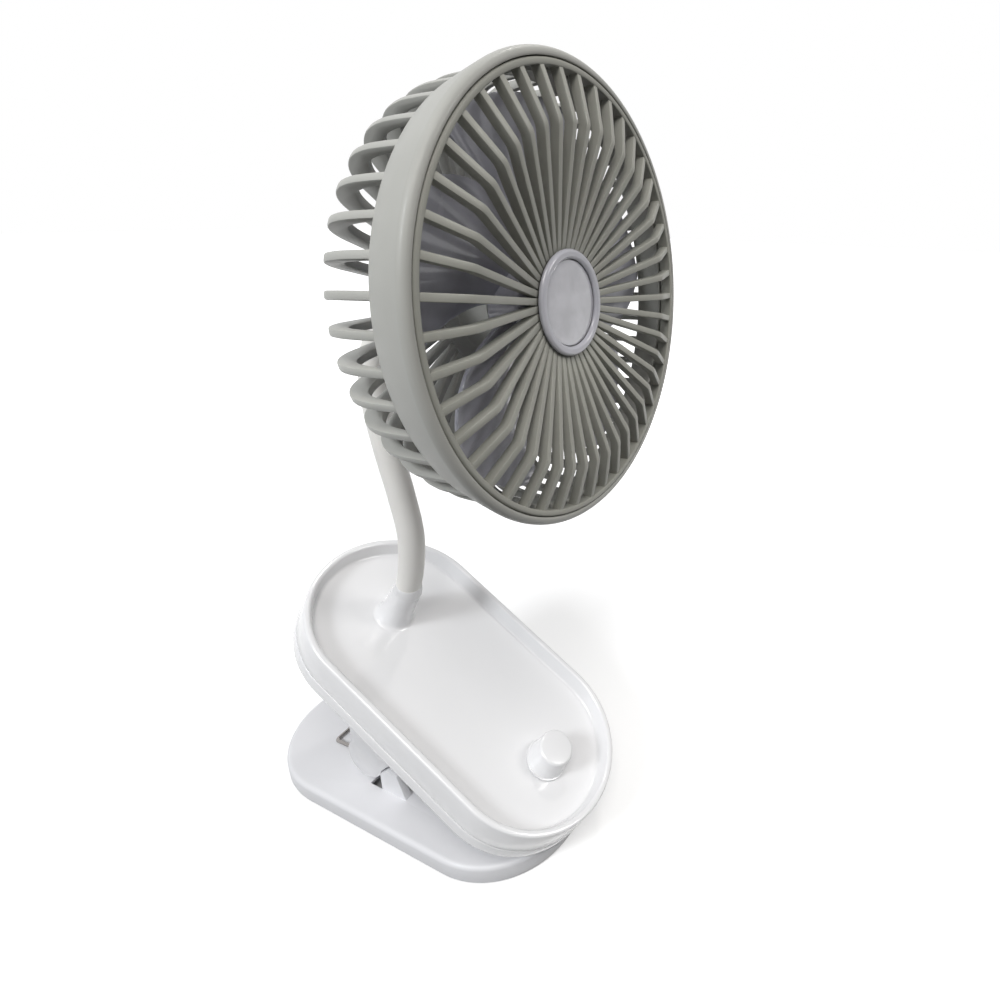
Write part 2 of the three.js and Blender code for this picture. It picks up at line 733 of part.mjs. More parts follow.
// The front grille: a ring, 45 bent ribs and the hub plate that carries the badge.
function frontGrille() {
  const ring = spun([
    [-4.6, OPENING_RADIUS], [0, OPENING_RADIUS], [0, GROOVE_RADIUS - 0.8],
    [-0.5, GROOVE_RADIUS - GAP], [-4.6, GROOVE_RADIUS - GAP], [-4.6, OPENING_RADIUS],
  ], RIBS);
  const hub = spun([[-9.2, 0], [-9.2, 16.6], [-6.2, 17], [-6.2, 0]], 30);
  return join(ring, hub, ...around(frontRib, RIB_WIDTH));
}

// One rib: it rises from the ring to the kink and falls back from there to the hub.
function frontRib() {
  const outer = OPENING_RADIUS + 0.9;
  return outline([
    [-0.5, outer], [KINK_RISE, KINK_RADIUS], [-HUB_SET_BACK - 0.3, HUB_RADIUS - 1.6],
    [-HUB_SET_BACK - RIB_DEPTH + 0.2, HUB_RADIUS - 1.6], [KINK_RISE - RIB_DEPTH, KINK_RADIUS],
    [-0.5 - RIB_DEPTH, outer],
  ]);
}

function badgeRing() {
  return spun([
    [-5.2, 14.3], [-5.2, HUB_RADIUS], [-4.3, HUB_RADIUS], [-3.5, 16.7],
    [-3.5, 15.2], [-4.3, 14.3], [-5.2, 14.3],
  ], 30);
}

// The badge's place is a bare, slightly domed disc.
function badgeDisc() {
  return spun([[-5.9, 0], [-5.9, 14], [-4.8, 14], [-4.4, 8], [-4.3, 0]], 30);
}

function motorCan() {
  const can = spun([
    [-34.4, 0], [-34.4, 15.2], [-19.4, 15.2], [-18.4, 14.2], [-18.4, 5], [-16.9, 5], [-16.9, 0],
  ], 20);
  return cut(can, spun([[-31.3, 0], [-31.3, 1.9], [-12, 1.9], [-12, 0]], 12));
}

function motorShaft() {
  return spun([[-31, 0], [-31, 1.6], [-12.9, 1.6], [-12.9, 0]], 12);
}

// The neck's last ball, its flange behind the head and the threaded stem through the disc.
function neckFerrule() {
  const flange = -CAGE_DEPTH - GAP;
  const body = spun([
    [LAST_BALL, 0], [LAST_BALL, NECK_RADIUS - 0.02], [-48.6, NECK_RADIUS - 0.02], [-47.8, 8],
    [-44.6, 8.4], [-43, 11],
    [flange, 11.6], [flange, 5.1], [-35.3, 5.1], [-35.3, 0],
  ], 16);
  const end = ball(NECK_RADIUS - 0.02, 16, 8).rotateY(Math.PI / 2).translate(LAST_BALL, 0, 0);
  return cut(join(body, end), spun([[-62, 0], [-62, NECK_BORE], [-30, NECK_BORE], [-30, 0]], 6));
}

function ferruleNut() {
  const hexagon = spun([[-37.9, 0], [-37.9, 9], [-35, 9], [-35, 0]], 6);
  return cut(hexagon, spun([[-39, 0], [-39, 5.6], [-34, 5.6], [-34, 0]], 12));
}

// ---------------------------------------------------------------- impeller
// A point of a blade at a share of its span and of its chord.
function bladePoint(alongSpan, alongChord) {
  const radius = BLADE_ROOT + (BLADE_TIP - BLADE_ROOT) * alongSpan;
  const arc = THREE.MathUtils.degToRad(62 - 4 * alongSpan);
  const sweep = THREE.MathUtils.degToRad(26) * alongSpan ** 1.4;
  const round = 1 - 0.22 * alongSpan ** 6;
  const angle = sweep + arc * round * (alongChord - 0.5);
  const drop = 10.4 - 1.6 * alongSpan;
  const camber = 1.6 * (1 - (2 * alongChord - 1) ** 2);
  const x = -12.9 - drop * alongChord + camber;
  return [x, radius, angle];
}

function blade(turn) {
  const vertices = [];
  const index = [];
  const columns = BLADE_COLUMNS + 1;
  const half = (BLADE_ROWS + 1) * columns;
  for (const side of [0, 1]) {
    for (let row = 0; row <= BLADE_ROWS; row++) {
      for (let column = 0; column <= BLADE_COLUMNS; column++) {
        const [x, radius, angle] = bladePoint(row / BLADE_ROWS, column / BLADE_COLUMNS);
        const place = angle + turn;
        vertices.push(x - side * BLADE_THICK, radius * Math.cos(place), radius * Math.sin(place));
      }
    }
  }
  for (let row = 0; row < BLADE_ROWS; row++) {
    for (let column = 0; column < BLADE_COLUMNS; column++) {
      const a = row * columns + column;
      const [b, c, d] = [a + 1, a + columns, a + columns + 1];
      index.push(a, b, c, b, d, c);
      index.push(a + half, c + half, b + half, b + half, c + half, d + half);
    }
  }
  const rim = bladeRim(columns);
  rim.forEach((a, i) => {
    const b = rim[(i + 1) % rim.length];
    index.push(a, a + half, b, b, a + half, b + half);
  });
  const geometry = new THREE.BufferGeometry();
  geometry.setAttribute('position', new THREE.Float32BufferAttribute(vertices, 3));
  geometry.setIndex(index);
  return geometry;
}

// The indices round the edge of one blade face, in order.
function bladeRim(columns) {
  const rim = [];
  for (let i = 0; i < columns - 1; i++) rim.push(i);
  for (let i = 0; i < BLADE_ROWS; i++) rim.push(i * columns + columns - 1);
  for (let i = columns - 1; i > 0; i--) rim.push(BLADE_ROWS * columns + i);
  for (let i = BLADE_ROWS; i > 0; i--) rim.push(i * columns);
  return rim;
}

function impeller() {
  const cup = spun([
    [CUP_BACK, 17.2], [CUP_BACK, CUP_OUTER], [CUP_FRONT - 2, CUP_OUTER], [CUP_FRONT - 0.6, 18.2],
    [CUP_FRONT, 16], [CUP_FRONT, 0], [-12.6, 0], [-12.6, 1.9], [-16.2, 1.9], [-16.2, 3.8],
    [-13.2, 3.8], [-13.2, 17.2], [CUP_BACK, 17.2],
  ], 24);
  const blades = [];
  for (let i = 0; i < BLADES; i++) blades.push(blade(2 * Math.PI * i / BLADES));
  const bore = spun([[CUP_BACK - 1, 0], [CUP_BACK - 1, 17.2], [-13.2, 17.2], [-13.2, 0]], 24);
  return join(cup, ...blades.map((one) => cut(one, bore)));
}

// ---------------------------------------------------------------- assembly
const fan = new THREE.Group();

fan.add(part('lower_jaw_shell', lowerJawShell(), softWhite));
fan.add(part('lower_jaw_cover', lowerJawCover(), softWhite));
fan.add(part('sole_pad', solePad(), rubber));
fan.add(part('lower_grip_pad', lowerGrip(), rubber));
fan.add(part('pivot_pin', pivotPin(), steel));
fan.add(part('spring_arbor', springArbor(), black));
fan.add(part('clip_spring', clipSpring(), steel));
SCREW_X.forEach((x, i) => {
  fan.add(part(`jaw_screw_${i + 1}`, caseScrew(0.7, 7).translate(x, 0, 0), steel));
});

const upperJaw = new THREE.Group();
upperJaw.position.set(BODY_X, 0, BODY_Z);
upperJaw.rotation.y = BODY_TILT;
fan.add(upperJaw);
upperJaw.add(part('bottom_shell', bottomShell(), glossWhite));
upperJaw.add(part('tray_shell', trayShell(), glossWhite));
upperJaw.add(part('upper_grip_pad', upperGrip(), rubber));
upperJaw.add(part('battery_pack', batteryPack(), cellBlue));
upperJaw.add(part('circuit_board', circuitBoard(), boardGreen));
upperJaw.add(part('usb_socket', usbSocket(), steel));
upperJaw.add(part('potentiometer', potentiometer(), black));
upperJaw.add(part('knob_shaft', knobShaft(), steel));
upperJaw.add(part('speed_knob', knob(), glossWhite));
upperJaw.add(part('neck_socket', neckSocket(), glossWhite));
upperJaw.add(part('neck_nut', neckNut(), steel));
CASE_SCREWS.forEach(([u, v], i) => {
  upperJaw.add(part(`case_screw_${i + 1}`, caseScrew(0.3, 11).translate(u, v, 0), steel));
});

const line = neckLine();
for (let i = 0; i < NECK_LINKS; i++) {
  const link = neckLink(line, i / NECK_LINKS, (i + 1) / NECK_LINKS);
  fan.add(part(`neck_link_${i + 1}`, link, sleeveWhite));
}

const head = new THREE.Group();
head.position.copy(HEAD_CENTRE);
head.rotation.set(0, -HEAD_TILT, HEAD_YAW, 'ZYX');
fan.add(head);
head.add(part('rear_housing', rearHousing(), warmGrey));
head.add(part('front_grille', frontGrille(), warmGrey));
head.add(part('badge_ring', badgeRing(), lavender));
head.add(part('badge_disc', badgeDisc(), lavender));
head.add(part('motor_can', motorCan(), copperCan));
head.add(part('motor_shaft', motorShaft(), steel));
head.add(part('impeller', impeller(), lavender));
head.add(part('neck_ferrule', neckFerrule(), sleeveWhite));
head.add(part('ferrule_nut', ferruleNut(), steel));

export default fan;
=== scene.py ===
"""Looks for the clip fan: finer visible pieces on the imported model, materials, light and camera.

Shapes are drawn in millimetres and made in metres. The head's own x axis is the fan's axis.
"""
import math

import bmesh
import bpy
from mathutils import Matrix, Vector


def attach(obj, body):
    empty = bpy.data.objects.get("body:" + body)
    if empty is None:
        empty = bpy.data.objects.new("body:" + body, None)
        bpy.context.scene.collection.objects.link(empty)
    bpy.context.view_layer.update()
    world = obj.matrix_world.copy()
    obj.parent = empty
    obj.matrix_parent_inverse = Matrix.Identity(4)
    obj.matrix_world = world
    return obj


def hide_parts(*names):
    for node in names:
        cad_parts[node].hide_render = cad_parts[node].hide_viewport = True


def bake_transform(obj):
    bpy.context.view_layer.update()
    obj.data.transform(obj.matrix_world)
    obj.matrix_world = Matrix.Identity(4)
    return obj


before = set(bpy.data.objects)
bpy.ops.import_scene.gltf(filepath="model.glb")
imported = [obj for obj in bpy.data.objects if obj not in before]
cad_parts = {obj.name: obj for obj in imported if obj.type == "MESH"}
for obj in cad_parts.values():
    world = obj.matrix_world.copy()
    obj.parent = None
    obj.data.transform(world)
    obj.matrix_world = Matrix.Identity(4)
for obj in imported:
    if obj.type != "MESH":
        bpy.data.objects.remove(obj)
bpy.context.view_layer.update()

MM = 0.001

# ------------------------------------------------------------------ dimensions
# Jaws
JAW_LENGTH, JAW_WIDTH, JAW_TOP = 174.4, 87.1, 11.0
BODY_LENGTH, BODY_WIDTH, BODY_HEIGHT = 176.2, 89.0, 22.8
BODY_TILT = math.radians(31.9)
BODY_PLACE = Vector((16.32, 0, 57.83))
PARTING = 8.5
FLOOR_TOP = 15.8
RIM_WIDTH = 3.6
PIVOT_X, PIVOT_Z = -19.5, 24.0
EAR_RADIUS, LUG_RADIUS = 11.2, 9
SOLE_LENGTH, SOLE_WIDTH = 124, 58
JAW_SCREW_X = 72
CASE_SCREWS = ((-62, -26), (-62, 26), (14, -34), (14, 34))
PORT_LOW, PORT_HIGH = (33.2, 38, 4.9), (42.8, 50, PARTING + 2)

# Hinge plates and slots, each between two distances from the middle plane
LUG_SPAN, STOP_SPAN, EAR_SPAN, SLOT_SPAN = (17, 21.6), (24.4, 28), (22, 26.6), (22.0, 28.0)

# Knob and neck
KNOB_U, KNOB_RADIUS, KNOB_TOP = 56.85, 10.25, 28.3
NECK_U, NECK_RADIUS, FIRST_BALL = -46.75, 5.9, 36.5
NECK_BORE, KNOB_BORE = 6.0, 4.0
NECK_LINKS = 8
SLEEVE_STEPS = 16
# The collar's tip rises along this share of the neck's line, with these radii.
TIP_SHARE, TIP_RADII = 0.0278, [6.9, 6.84, 6.76, 6.66, 6.54, 6.4, 6.22, 5.98]
NECK_POINTS = [
    (1.5, -1.2, 128), (5.3, -2.4, 148), (3.9, -3.6, 168), (0.9, -5, 190), (-0.9, -6, 210),
    (1.2, -6.8, 229), (11.2, -7.2, 245.8), (28, -7.2, 256),
]

# Head
HEAD_CENTRE = Vector((102.7, -9, 262.2))
HEAD_YAW, HEAD_TILT = math.radians(-2.2), math.radians(3.8)
RIBS = 45
LIP_RADIUS, GROOVE_RADIUS, OPENING_RADIUS = 73.4, 70.65, 68.4
BAND_DEPTH, CAGE_RADIUS, CAGE_DEPTH, CAGE_DISC = 15.3, 70.0, 41.0, 24.0
KINK_RADIUS, KINK_RISE = 54.1, 3.2
HUB_RADIUS, HUB_SET_BACK = 17.5, 5.6
RIB_WIDTH, RIB_DEPTH, FIN_WIDTH = 2.2, 3.4, 2.4
LAST_BALL = -53.0

# Impeller
BLADES, BLADE_ROOT, BLADE_TIP, BLADE_THICK = 5, 18.0, 63.5, 1.5
CUP_FRONT, CUP_BACK, CUP_OUTER = -11.2, -24.2, 19.0

# Spring
WIRE, COIL_RADIUS, COIL_TURNS, COIL_PITCH = 1.8, 6.2, 4.25, 2.4
BAIL_X, BAIL_Y, COIL_Y = -53.2, 17.2, 15.5

UPRIGHT = Matrix.Identity(4)
TRAY = Matrix.Translation(BODY_PLACE) @ Matrix.Rotation(BODY_TILT, 4, "Y")
HEAD = (
    Matrix.Translation(HEAD_CENTRE)
    @ Matrix.Rotation(HEAD_YAW, 4, "Z")
    @ Matrix.Rotation(-HEAD_TILT, 4, "Y")
)


# ------------------------------------------------------------------ mesh helpers
def new_object(name, data):
    obj = bpy.data.objects.new(name, data)
    bpy.context.scene.collection.objects.link(obj)
    return obj


def from_bmesh(name, bm):
    """A new object with the faces of bm, which is used up."""
    mesh = bpy.data.meshes.new(name)
    bm.to_mesh(mesh)
    bm.free()
    return new_object(name, mesh)


def piece(name, vertices, faces, place=UPRIGHT):
    """A new object from points in millimetres, carried to its place and scaled to metres."""
    mesh = bpy.data.meshes.new(name)
    mesh.from_pydata([place @ Vector(v) * MM for v in vertices], [], faces)
    obj = new_object(name, mesh)
    tidy_mesh(obj)
    return obj


def tidy_mesh(obj):
    """Merges doubled points and turns all the faces outwards."""
    bm = bmesh.new()
    bm.from_mesh(obj.data)
    bmesh.ops.remove_doubles(bm, verts=bm.verts, dist=1e-7)
    bmesh.ops.recalc_face_normals(bm, faces=bm.faces)
    bm.to_mesh(obj.data)
    bm.free()


def soften(obj, width=0.4, segments=2, angle=30):
    """Rounds the edges sharper than the angle, and shades the rest smooth."""
    if width:
        bevel = obj.modifiers.new("edges", "BEVEL")
        bevel.width = width * MM
        bevel.segments = segments
        bevel.limit_method = "ANGLE"
        bevel.angle_limit = math.radians(angle)
        bevel.harden_normals = False
        apply_modifiers(obj)
    obj.data.shade_smooth()
    obj.data.set_sharp_from_angle(angle=math.radians(38))
    return obj


def apply_modifiers(obj):
    """Puts the mesh that the modifiers give in place of the object's own."""
    graph = bpy.context.evaluated_depsgraph_get()
    done = bpy.data.meshes.new_from_object(obj.evaluated_get(graph))
    old = obj.data
    obj.modifiers.clear()
    obj.data = done
    bpy.data.meshes.remove(old)


def merge(name, objects):
    """One object out of several."""
    bm = bmesh.new()
    for obj in objects:
        bm.from_mesh(obj.data)
        bpy.data.objects.remove(obj)
    return from_bmesh(name, bm)


def boolean(obj, tool, operation):
    """Joins or cuts obj with another object, which is used up."""
    step = obj.modifiers.new("step", "BOOLEAN")
    step.operation = operation
    step.object = tool
    step.solver = "EXACT"
    apply_modifiers(obj)
    bpy.data.objects.remove(tool)
    return obj


def rings_to_faces(rows, count, loop):
    """Quads between rows of points; each row is a closed ring."""
    faces = []
    for row in range(rows if loop else rows - 1):
        for i in range(count):
            j = (i + 1) % count
            after = (row + 1) % rows
            faces.append((row * count + i, row * count + j, after * count + j, after * count + i))
    return faces


def spun(name, profile, steps, place=HEAD, axis="X"):
    """Turns [along, radius] points about an axis. A profile off the axis closes on itself."""
    closed = profile[0][1] > 0
    vertices = []
    for along, radius in profile:
        for i in range(steps):
            angle = 2 * math.pi * i / steps
            a, b = radius * math.cos(angle), radius * math.sin(angle)
            vertices.append((along, a, b) if axis == "X" else (a, b, along))
    faces = rings_to_faces(len(profile), steps, closed)
    if not closed:
        faces.append(tuple(range(steps)))
        last = (len(profile) - 1) * steps
        faces.append(tuple(range(last, last + steps)))
    return piece(name, vertices, faces, place)


def rounded(profile, reach, steps=3):
    """Rounds the corners of a closed [x, y] profile by at most `reach`."""
    out = []
    count = len(profile)
    for i in range(count):
        before, here, after = (Vector(profile[k % count]) for k in (i - 1, i, i + 1))
        back, on = before - here, after - here
        cut = min(reach, back.length * 0.45, on.length * 0.45)
        start, end = here + back.normalized() * cut, here + on.normalized() * cut
        for k in range(steps + 1):
            t = k / steps
            out.append(tuple(start * (1 - t) ** 2 + here * 2 * t * (1 - t) + end * t ** 2))
    return out


def stadium(length, width, inset, steps):
    """The outline of a stadium, drawn in from its full size by the inset."""
    radius = width / 2 - inset
    straight = (length - width) / 2
    points = []
    for side in (1, -1):
        for i in range(steps + 1):
            angle = -math.pi / 2 + math.pi * i / steps
            x = straight + radius * math.cos(angle)
            points.append((side * x, side * radius * math.sin(angle)))
    return points


def stadium_shell(name, length, width, profile, place, steps=48):
    """Carries [inset, height] points round a stadium. Both ends are closed with a face."""
    vertices = []
    for inset, height in profile:
        vertices += [(x, y, height) for x, y in stadium(length, width, inset, steps)]
    count = 2 * (steps + 1)
    faces = rings_to_faces(len(profile), count, False)
    faces.append(tuple(range(count)))
    faces.append(tuple(range((len(profile) - 1) * count, len(profile) * count)))
    return piece(name, vertices, faces, place)


def plate(name, outline, depth, place=UPRIGHT, turn=Matrix.Identity(4)):
    """A flat outline in x and y, `depth` thick and centred on its plane, turned and then placed."""
    count = len(outline)
    vertices = [turn @ Vector((x, y, z)) for z in (-depth / 2, depth / 2) for x, y in outline]
    faces = [(i, (i + 1) % count, (i + 1) % count + count, i + count) for i in range(count)]
    faces += [tuple(range(count)), tuple(range(count, 2 * count))]
    return piece(name, vertices, faces, place)


def block(name, low, high, place=UPRIGHT):
    """A box between two corners."""
    (x0, y0, z0), (x1, y1, z1) = low, high
    outline = [(x0, y0), (x1, y0), (x1, y1), (x0, y1)]
    shift = Matrix.Translation((0, 0, (z0 + z1) / 2))
    return plate(name, outline, z1 - z0, place, shift)


def through(points, samples):
    """A smooth line through points, by a centripetal Catmull-Rom spline."""
    points = [Vector(p) for p in points]
    ends = [points[0] * 2 - points[1]] + points + [points[-1] * 2 - points[-2]]
    out = []
    for i in range(1, len(ends) - 2):
        p0, p1, p2, p3 = ends[i - 1:i + 3]
        t0 = 0.0
        t1 = t0 + (p1 - p0).length ** 0.5
        t2 = t1 + (p2 - p1).length ** 0.5
        t3 = t2 + (p3 - p2).length ** 0.5
        for k in range(samples):
            t = t1 + (t2 - t1) * k / samples
            a1 = p0 * ((t1 - t) / (t1 - t0)) + p1 * ((t - t0) / (t1 - t0))
            a2 = p1 * ((t2 - t) / (t2 - t1)) + p2 * ((t - t1) / (t2 - t1))
            a3 = p2 * ((t3 - t) / (t3 - t2)) + p3 * ((t - t2) / (t3 - t2))
            b1 = a1 * ((t2 - t) / (t2 - t0)) + a2 * ((t - t0) / (t2 - t0))
            b2 = a2 * ((t3 - t) / (t3 - t1)) + a3 * ((t - t1) / (t3 - t1))
            out.append(b1 * ((t2 - t) / (t2 - t1)) + b2 * ((t - t1) / (t2 - t1)))
    out.append(points[-1])
    return out


def tube(name, points, radius, sides, beyond=(None, None)):
    """A round tube along a list of points, closed at both ends.

    The points beyond its ends, where given, turn the end rings as on a longer tube. The radius
    may be a list, with one for each point.
    """
    radii = radius if isinstance(radius, list) else [radius] * len(points)
    vertices = []
    side = Vector((0, 1, 0))
    line = [beyond[0] or points[0], *points, beyond[1] or points[-1]]
    for row, point in enumerate(points):
        along = (line[row + 2] - line[row]).normalized()
        side = (side - along * side.dot(along)).normalized()
        across = along.cross(side)
        for i in range(sides):
            angle = 2 * math.pi * i / sides
            spoke = side * math.cos(angle) + across * math.sin(angle)
            vertices.append(point + spoke * radii[row])
    faces = rings_to_faces(len(points), sides, False)
    faces.append(tuple(range(sides)))
    faces.append(tuple(range(len(vertices) - sides, len(vertices))))
    return piece(name, vertices, faces)


def finer(node, width):
    """A copy of a node's mesh with its flat parts dissolved and its edges rounded."""
    copy = new_object(node + "_fine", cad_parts[node].data.copy())
    copy.data.materials.clear()
    bm = bmesh.new()
    bm.from_mesh(copy.data)
    bmesh.ops.remove_doubles(bm, verts=bm.verts, dist=1e-6)
    bmesh.ops.dissolve_limit(
        bm, angle_limit=math.radians(1), verts=bm.verts, edges=bm.edges)
    bm.to_mesh(copy.data)
    bm.free()
    return soften(copy, width)


def stand_for(obj, body, slot, material, *nodes):
    """obj rides on a body, takes the material, and stands for the nodes."""
    obj.data.materials.clear()
    obj.data.materials.append(material)
    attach(obj, body)
    if nodes:
        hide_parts(*nodes)
    return obj


# ------------------------------------------------------------------ materials
def start_material(name):
    material = bpy.data.materials.new(name)
    material.use_nodes = True
    nodes, links = material.node_tree.nodes, material.node_tree.links
    shader = next(n for n in nodes if n.type == "BSDF_PRINCIPLED")
    place = nodes.new("ShaderNodeTexCoord")
    return material, nodes, links, shader, place.outputs["Object"]


def noise(nodes, links, where, scale, detail=3.0, roughness=0.5):
    node = nodes.new("ShaderNodeTexNoise")
    node.inputs["Scale"].default_value = scale
    node.inputs["Detail"].default_value = detail
    node.inputs["Roughness"].default_value = roughness
    links.new(where, node.inputs["Vector"])
    return node.outputs["Fac"]


def ramp(nodes, links, value, stops):
    node = nodes.new("ShaderNodeValToRGB")
    elements = node.color_ramp.elements
    while len(elements) < len(stops):
        elements.new(0.5)
    for element, (position, colour) in zip(elements, stops):
        element.position = position
        element.color = (*colour, 1)
    links.new(value, node.inputs["Fac"])
    return node.outputs["Color"]


def shades(colour, spread):
    """Two tones of one colour, a little under and over it."""
    low = tuple(c * (1 - spread) for c in colour)
    high = tuple(min(1, c * (1 + spread)) for c in colour)
    return low, high


def calculate(nodes, links, operation, first, second):
    """The result of a math node for one socket with another socket or a number."""
    node = nodes.new("ShaderNodeMath")
    node.operation = operation
    links.new(first, node.inputs[0])
    if isinstance(second, (int, float)):
        node.inputs[1].default_value = second
    else:
        links.new(second, node.inputs[1])
    return node.outputs[0]


def spread_between(nodes, links, value, low, high, source=(0, 1), smooth=False):
    """Carries a value from the source range to the range between low and high."""
    node = nodes.new("ShaderNodeMapRange")
    if smooth:
        node.interpolation_type = "SMOOTHSTEP"
    node.inputs["From Min"].default_value, node.inputs["From Max"].default_value = source
    node.inputs["To Min"].default_value = low
    node.inputs["To Max"].default_value = high
    links.new(value, node.inputs["Value"])
    return node.outputs["Result"]


def bump(nodes, links, shader, height, distance, strength=0.5):
    node = nodes.new("ShaderNodeBump")
    node.inputs["Distance"].default_value = distance
    node.inputs["Strength"].default_value = strength
    links.new(height, node.inputs["Height"])
    links.new(node.outputs["Normal"], shader.inputs["Normal"])


def moulded(name, colour, rough, spread=0.03, grain=0.00002, grain_scale=2600, coat=0.0,
            edge_highlight=0.0, scatter=0.0, specular=0.5, clouds=22):
    """Moulded plastic: cloudy tone, a fine skin, uneven gloss and a painted highlight along convex
    edges.
    """
    material, nodes, links, shader, where = start_material(name)
    cloud = noise(nodes, links, where, clouds, 4)
    low, high = shades(colour, spread)
    tone = ramp(nodes, links, cloud, [(0.3, low), (0.7, high)])
    # Painted highlight: convex edges get a lighter tone.
    if edge_highlight:
        tone = painted_edge_highlight(nodes, links, tone, where, colour, edge_highlight)
    links.new(tone, shader.inputs["Base Color"])
    handled = noise(nodes, links, where, 75, 5, 0.6)
    links.new(
        spread_between(nodes, links, handled, rough * 0.8, rough * 1.25),
        shader.inputs["Roughness"])
    bump(nodes, links, shader, noise(nodes, links, where, grain_scale, 2), grain)
    shader.inputs["Specular IOR Level"].default_value = specular
    shader.inputs["Coat Weight"].default_value = coat
    shader.inputs["Coat Roughness"].default_value = 0.05
    if scatter:
        shader.inputs["Subsurface Weight"].default_value = scatter
        shader.inputs["Subsurface Radius"].default_value = (0.004, 0.004, 0.0036)
    return material


def painted_edge_highlight(nodes, links, tone, where, colour, edge_highlight):
    """Paints a highlight along convex edges: lightens the tone there, unevenly."""
    geometry = nodes.new("ShaderNodeNewGeometry")
    edge = ramp(nodes, links, geometry.outputs["Pointiness"], [(0.52, (0, 0, 0)), (0.6, (1, 1, 1))])
    patch = noise(nodes, links, where, 160, 4)
    highlight_mask = calculate(nodes, links, "MULTIPLY", edge, patch)
    mix = nodes.new("ShaderNodeMix")
    mix.data_type = "RGBA"
    links.new(calculate(nodes, links, "MULTIPLY", highlight_mask, edge_highlight), mix.inputs["Factor"])
    links.new(tone, mix.inputs[6])
    # The lighter tone of the painted edge highlight.
    mix.inputs[7].default_value = (*[min(1, c * 1.35 + 0.04) for c in colour], 1)
    return mix.outputs[2]


def metal(name, colour, rough, streak=(900, 900, 40)):
    """Drawn or turned metal with fine streaks and a little tarnish."""
    material, nodes, links, shader, where = start_material(name)
    mapping = nodes.new("ShaderNodeMapping")
    mapping.inputs["Scale"].default_value = streak
    links.new(where, mapping.inputs["Vector"])
    lines = noise(nodes, links, mapping.outputs["Vector"], 1, 3)
    tarnish = noise(nodes, links, where, 120, 4)
    low, high = shades(colour, 0.08)
    links.new(ramp(nodes, links, tarnish, [(0.3, low), (0.7, high)]), shader.inputs["Base Color"])
    links.new(
        spread_between(nodes, links, lines, rough * 0.7, rough * 1.4), shader.inputs["Roughness"])
    bump(nodes, links, shader, lines, 0.00001, 0.4)
    shader.inputs["Metallic"].default_value = 1.0
    return material


def rubber(name, colour):
    """Matt rubber with a fine pebbled skin and dusty highs."""
    material, nodes, links, shader, where = start_material(name)
    dust = noise(nodes, links, where, 60, 5, 0.65)
    low, high = shades(colour, 0.14)
    links.new(ramp(nodes, links, dust, [(0.35, low), (0.7, high)]), shader.inputs["Base Color"])
    shader.inputs["Roughness"].default_value = 0.82
    pebble = nodes.new("ShaderNodeTexVoronoi")
    pebble.inputs["Scale"].default_value = 1400
    links.new(where, pebble.inputs["Vector"])
    bump(nodes, links, shader, pebble.outputs["Distance"], 0.00008, 0.6)
    shader.inputs["Sheen Weight"].default_value = 0.15
    return material


def laminate(name, colour, track):
    """Green board with the pale squares of its tracks under the mask."""
    material, nodes, links, shader, where = start_material(name)
    bricks = nodes.new("ShaderNodeTexBrick")
    bricks.inputs["Scale"].default_value = 220
    bricks.inputs["Color1"].default_value = (*colour, 1)
    bricks.inputs["Color2"].default_value = (*[c * 0.8 for c in colour], 1)
    bricks.inputs["Mortar"].default_value = (*track, 1)
    bricks.inputs["Mortar Size"].default_value = 0.03
    links.new(where, bricks.inputs["Vector"])
    links.new(bricks.outputs["Color"], shader.inputs["Base Color"])
    shader.inputs["Roughness"].default_value = 0.4
    bump(nodes, links, shader, bricks.outputs["Fac"], 0.00003, 0.5)
    return material


white_gloss = moulded(
    "white_gloss_plastic", (0.80, 0.80, 0.81), rough=0.2, spread=0.012, grain=0.000008,
    grain_scale=1500, coat=0.6)
white_soft = moulded(
    "white_satin_plastic", (0.78, 0.78, 0.80), rough=0.42, spread=0.02, grain=0.00002,
    grain_scale=2400, coat=0.05)
# The grey, grille, lavender and blade plastics carry a painted highlight on their convex edges.
grey_plastic = moulded(
    "warm_grey_plastic", (0.39, 0.39, 0.365), rough=0.42, spread=0.08, grain=0.00003,
    grain_scale=2200, coat=0.04, edge_highlight=0.5, specular=0.25)
grille_plastic = moulded(
    "grille_grey_plastic", (0.34, 0.34, 0.305), rough=0.42, spread=0.08, grain=0.00003,
    grain_scale=2200, coat=0.04, edge_highlight=0.8, specular=0.2)
sleeve_white = moulded(
    "neck_sleeve_white", (0.88, 0.865, 0.83), rough=0.42, spread=0.02, grain=0.00003,
    grain_scale=1800, scatter=0.1)
lavender = moulded(
    "lavender_plastic", (0.47, 0.47, 0.52), rough=0.22, spread=0.03, grain=0.00001,
    grain_scale=1500, coat=0.4, edge_highlight=0.4)
# The badge disc's coarse mottle of lighter and darker patches is a painted reflection.
disc_gloss_painted_reflection = moulded(
    "badge_disc_gloss", (0.48, 0.48, 0.52), rough=0.14, spread=0.2, grain=0.00001,
    grain_scale=900, coat=0.9, clouds=90)
blade_plastic = moulded(
    "blade_plastic", (0.42, 0.42, 0.48), rough=0.25, spread=0.15, grain=0.00002,
    grain_scale=900, coat=0.5, edge_highlight=0.2, clouds=60)
black_plastic = moulded("black_plastic", (0.02, 0.02, 0.022), rough=0.45, spread=0.1)
pad_rubber = rubber("pad_rubber", (0.12, 0.12, 0.125))
plain_steel = metal("plain_steel", (0.62, 0.62, 0.63), 0.3)
chrome_wire = metal("chrome_wire", (0.36, 0.34, 0.33), 0.16, (400, 400, 400))
motor_steel = metal("motor_steel", (0.42, 0.42, 0.44), 0.35)
board_green = laminate("board_green", (0.02, 0.11, 0.05), (0.25, 0.32, 0.16))
cell_film = moulded(
    "cell_film_blue", (0.05, 0.13, 0.36), rough=0.3, spread=0.08, grain=0.00004,
    grain_scale=500, coat=0.3)


